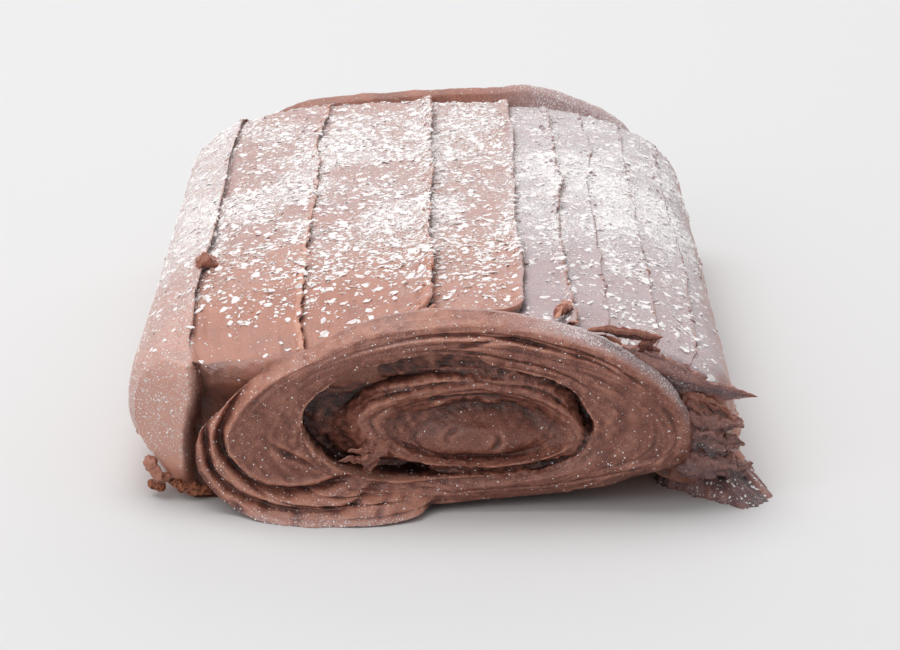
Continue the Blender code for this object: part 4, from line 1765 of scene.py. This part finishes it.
@dataclass(frozen=True)
class Scatter:
    """Small things sown over a surface by Geometry Nodes, more thickly where an attribute says so.

    Attributes:
        name: The piece's name.
        attribute: The surface's attribute, from 0 to 1.
        per_cm2: How many lie on a square centimetre where the attribute is 1.
        smallest: Least length, breadth and thickness in millimetres.
        largest: Greatest length, breadth and thickness in millimetres.
        corners: How many corners each one has round its edge.
        ragged: How far a ball's points are moved to make it irregular, in millimetres.
        grain: Size of that irregularity in millimetres.
        seed: Which of the possible scatters this is.
        slot: The material slot.
    """

    name: str
    attribute: str
    per_cm2: float
    smallest: tuple[float, float, float]
    largest: tuple[float, float, float]
    corners: int
    ragged: float
    grain: float
    seed: int
    slot: Slot = Slot.SUGAR

    FEW_LARGE = 2.4  # the power that makes most of them small
    TILT = 0.25  # how far they lie aslant, in radians
    INPUTS = (("Density", "NodeSocketFloat"), ("Attribute", "NodeSocketString"),
              ("Smallest", "NodeSocketVector"), ("Largest", "NodeSocketVector"),
              ("Raggedness", "NodeSocketFloat"), ("Grain", "NodeSocketFloat"),
              ("Seed", "NodeSocketInt"), ("Finish", "NodeSocketMaterial"))

    def tree(self) -> bpy.types.GeometryNodeTree:
        """Builds the node tree, with one named input for each of its sizes.

        Returns:
            The tree.
        """
        tree = bpy.data.node_groups.new(self.name, "GeometryNodeTree")
        tree.interface.new_socket("Geometry", in_out="INPUT", socket_type="NodeSocketGeometry")
        for label, kind in self.INPUTS:
            tree.interface.new_socket(label, in_out="INPUT", socket_type=kind)
        tree.interface.new_socket("Geometry", in_out="OUTPUT", socket_type="NodeSocketGeometry")
        given = add_node(tree, "NodeGroupInput").outputs
        wanted = add_node(tree, "GeometryNodeInputNamedAttribute", {"data_type": "FLOAT"},
                          Name=given["Attribute"])
        sown = add_node(tree, "GeometryNodeDistributePointsOnFaces", Mesh=given["Geometry"],
                        Density=maths(tree, "MULTIPLY", wanted.outputs["Attribute"], given["Density"]),
                        Seed=given["Seed"])
        chance = add_node(tree, "FunctionNodeRandomValue", {"data_type": "FLOAT"}, Seed=given["Seed"])
        size = add_node(tree, "ShaderNodeMix", {"data_type": "VECTOR"},
                        i0=maths(tree, "POWER", chance.outputs[1], self.FEW_LARGE),
                        i4=given["Smallest"], i5=given["Largest"])
        ball = add_node(tree, "GeometryNodeMeshUVSphere", Segments=self.corners, Rings=3, Radius=0.5)
        laid = add_node(tree, "GeometryNodeInstanceOnPoints", Points=sown.outputs["Points"],
                        Instance=ball.outputs["Mesh"], Rotation=sown.outputs["Rotation"],
                        Scale=size.outputs[1])
        spin = add_node(tree, "FunctionNodeRandomValue", {"data_type": "FLOAT_VECTOR"},
                        Min=(-self.TILT, -self.TILT, 0.0), Max=(self.TILT, self.TILT, TAU),
                        Seed=given["Seed"])
        turned = add_node(tree, "GeometryNodeRotateInstances", Instances=laid.outputs["Instances"],
                          Rotation=spin.outputs["Value"])
        real = add_node(tree, "GeometryNodeRealizeInstances", Geometry=turned.outputs["Instances"])
        cloudy = add_node(tree, "ShaderNodeTexNoise", Scale=given["Grain"], Detail=1.0)
        centred = add_node(tree, "ShaderNodeVectorMath", {"operation": "SUBTRACT"},
                           i0=cloudy.outputs["Color"], i1=(0.5, 0.5, 0.5))
        moved = add_node(tree, "ShaderNodeVectorMath", {"operation": "SCALE"},
                         i0=centred.outputs[0], Scale=given["Raggedness"])
        torn = add_node(tree, "GeometryNodeSetPosition", Geometry=real.outputs["Geometry"],
                        Offset=moved.outputs[0])
        dressed = add_node(tree, "GeometryNodeSetMaterial", Geometry=torn.outputs["Geometry"],
                           Material=given["Finish"])
        add_node(tree, "NodeGroupOutput", Geometry=dressed.outputs["Geometry"])
        return tree

    def build(self, surface: bpy.types.Object, finish: bpy.types.Material) -> bpy.types.Object:
        """Sows the things over a surface and makes them one plain mesh.

        Args:
            surface: The piece that they lie on.
            finish: Their material.

        Returns:
            The piece.
        """
        sower = add_object(f"{self.name}_sower", surface.data)
        tree = self.tree()
        modifier = sower.modifiers.new("sow", "NODES")
        modifier.node_group = tree
        values = {"Density": self.per_cm2 * 1e4, "Attribute": self.attribute,
                  "Smallest": tuple(size * MM for size in self.smallest),
                  "Largest": tuple(size * MM for size in self.largest),
                  "Raggedness": 2.0 * self.ragged * MM, "Grain": 1000.0 / self.grain,
                  "Seed": self.seed, "Finish": finish}
        sockets = {item.name: item.identifier for item in tree.interface.items_tree
                   if item.in_out == "INPUT"}
        for label, value in values.items():
            modifier[sockets[label]] = value
        bpy.context.view_layer.update()
        graph = bpy.context.evaluated_depsgraph_get()
        mesh = bpy.data.meshes.new_from_object(sower.evaluated_get(graph))
        bpy.data.objects.remove(sower)
        mesh.name = self.name
        if not mesh.materials:
            mesh.materials.append(finish)
        piece = add_object(self.name, mesh)
        hand_over(piece, self.slot)
        return piece


TOP_SUGAR = (
    Scatter("sugar_flakes", "sugar", 31.0, (0.9, 0.6, 0.2), (3.9, 2.3, 0.5), 7, 0.7, 0.7, 3),
    Scatter("sugar_clumps", "sugar", 44.0, (0.5, 0.4, 0.2), (2.2, 1.4, 0.5), 5, 0.35, 0.5, 5),
    Scatter("sugar_grains", "powder", 40.0, (0.25, 0.22, 0.15), (0.9, 0.65, 0.4), 4, 0.08, 0.3, 7),
)
SWIRL_SUGAR = Scatter("swirl_sugar_specks", "dust", 210.0, (0.12, 0.1, 0.08), (0.62, 0.42, 0.25), 5,
                      0.06, 0.3, 9)
BACK_SUGAR = replace(SWIRL_SUGAR, name="back_swirl_sugar_specks", seed=19)
SMEAR_SUGAR = Scatter("smear_sugar", "sugar", 90.0, (0.2, 0.2, 0.15), (1.3, 0.8, 0.4), 5, 0.1, 0.4, 13)
RIDGE_BURRS = Scatter("ridge_burrs", "burrs", 18.0, (0.3, 0.3, 0.3), (1.9, 1.1, 1.2), 6, 0.4, 0.6, 17,
                      Slot.ROLL)


# -------------------------------------------------------------------------------------- the studio


@dataclass(frozen=True)
class Window:
    """A large soft light: its name, its place and size in metres, and its power in watts."""

    name: str
    place: tuple[float, float, float]
    size: tuple[float, float]
    power: float


WINDOWS = (
    Window("window_behind", (0.5, 1.7, 0.75), (2.4, 1.0), 9.0),
    Window("skylight", (-0.4, 0.3, 1.7), (1.6, 1.6), 26.0),
    Window("fill_in_front", (-0.9, -1.4, 0.9), (1.4, 1.0), 9.0),
)


@dataclass(frozen=True)
class Studio:
    """A pale table in soft daylight, and the camera in front of and above the log's front end."""

    log: Log
    distance: float = 803.0  # from the roll's front end to the camera, along the table
    height: float = 274.0
    sideways: float = 4.2
    pitch_deg: float = 16.0
    lens: float = 138.8
    sensor: float = 36.0
    daylight: float = 0.5
    daylight_colour: str = "fbfbff"
    table: float = 6.0  # half the table's width, in metres

    def build(self) -> None:
        """Builds the table, the lights and the camera."""
        corners = [(x * self.table, y * self.table, 0) for x, y in ((-1, -1), (1, -1), (1, 1), (-1, 1))]
        make_object("table_top", np.array(corners), [[0, 1, 2, 3]], TableTop().build())
        world = bpy.data.worlds.new("soft_daylight")
        world.use_nodes = True
        fill_sockets(world.node_tree, world.node_tree.nodes["Background"],
                     Color=linear(self.daylight_colour), Strength=self.daylight)
        bpy.context.scene.world = world
        for window in WINDOWS:
            self.add_window(window)
        camera = add_object("camera", bpy.data.cameras.new("camera"))
        camera.location = Vector((self.log.middle + self.sideways, self.log.front - self.distance,
                                  self.height)) * MM
        camera.rotation_euler = (math.radians(90 - self.pitch_deg), 0.0, 0.0)
        camera.data.lens = self.lens
        camera.data.sensor_width = self.sensor
        camera.data.clip_start = 0.01
        bpy.context.scene.camera = camera
        bpy.context.scene.view_settings.view_transform = "Standard"

    def add_window(self, window: Window) -> None:
        """Adds one soft light, pointed at the cake.

        Args:
            window: The light.
        """
        light = bpy.data.lights.new(window.name, "AREA")
        light.shape = "RECTANGLE"
        light.size, light.size_y = window.size
        light.energy = window.power
        lamp = add_object(window.name, light)
        lamp.location = window.place
        lamp.rotation_euler = (-Vector(window.place)).to_track_quat("-Z", "Y").to_euler()


def main() -> None:
    """Builds the cake's pieces in order."""
    logging.basicConfig(level=logging.INFO)
    log = Log()
    cream = Buttercream("spread_chocolate_buttercream", grit=0.6, haze=0.85,
                        whipped_depth_mm=0.6).build()
    stroked = Buttercream("knife_stroked_chocolate_buttercream", furrow="4a2b23", body="a86f5b",
                          crest="cd937b", sheen=0.12).build()
    burr = Buttercream("torn_chocolate_buttercream", furrow="8d5e4a", body="a16d58", crest="c3907a",
                       haze=0.0).build()
    sugar, crumb = IcingSugar().build(), SpongeCrumb().build()
    finishes = {Slot.SWIRL: cream, Slot.ROLL: stroked, Slot.CRUMB: crumb}
    front = EndSwirl(log).build(cream)
    back = EndSwirl(log, "back_swirl_frosting", "back_swirl", creases=(), outline=BACK_OUTLINE,
                    face=8.6, tallest=0.9, deepest=-6.0, facing=1.0, end=log.length, spokes=420,
                    seed=31).build(cream)
    coat = RollCoat(log).build(stroked)
    for tear in TEARS:
        TornScrap(log, tear).build(finishes[tear.slot])
    smear = FootSmear(log).build(cream)
    for scatter in TOP_SUGAR:
        scatter.build(coat, sugar)
    SWIRL_SUGAR.build(front, sugar)
    BACK_SUGAR.build(back, sugar)
    SMEAR_SUGAR.build(smear, sugar)
    RIDGE_BURRS.build(coat, burr)
    Studio(log).build()


if __name__ == "__main__":
    main()
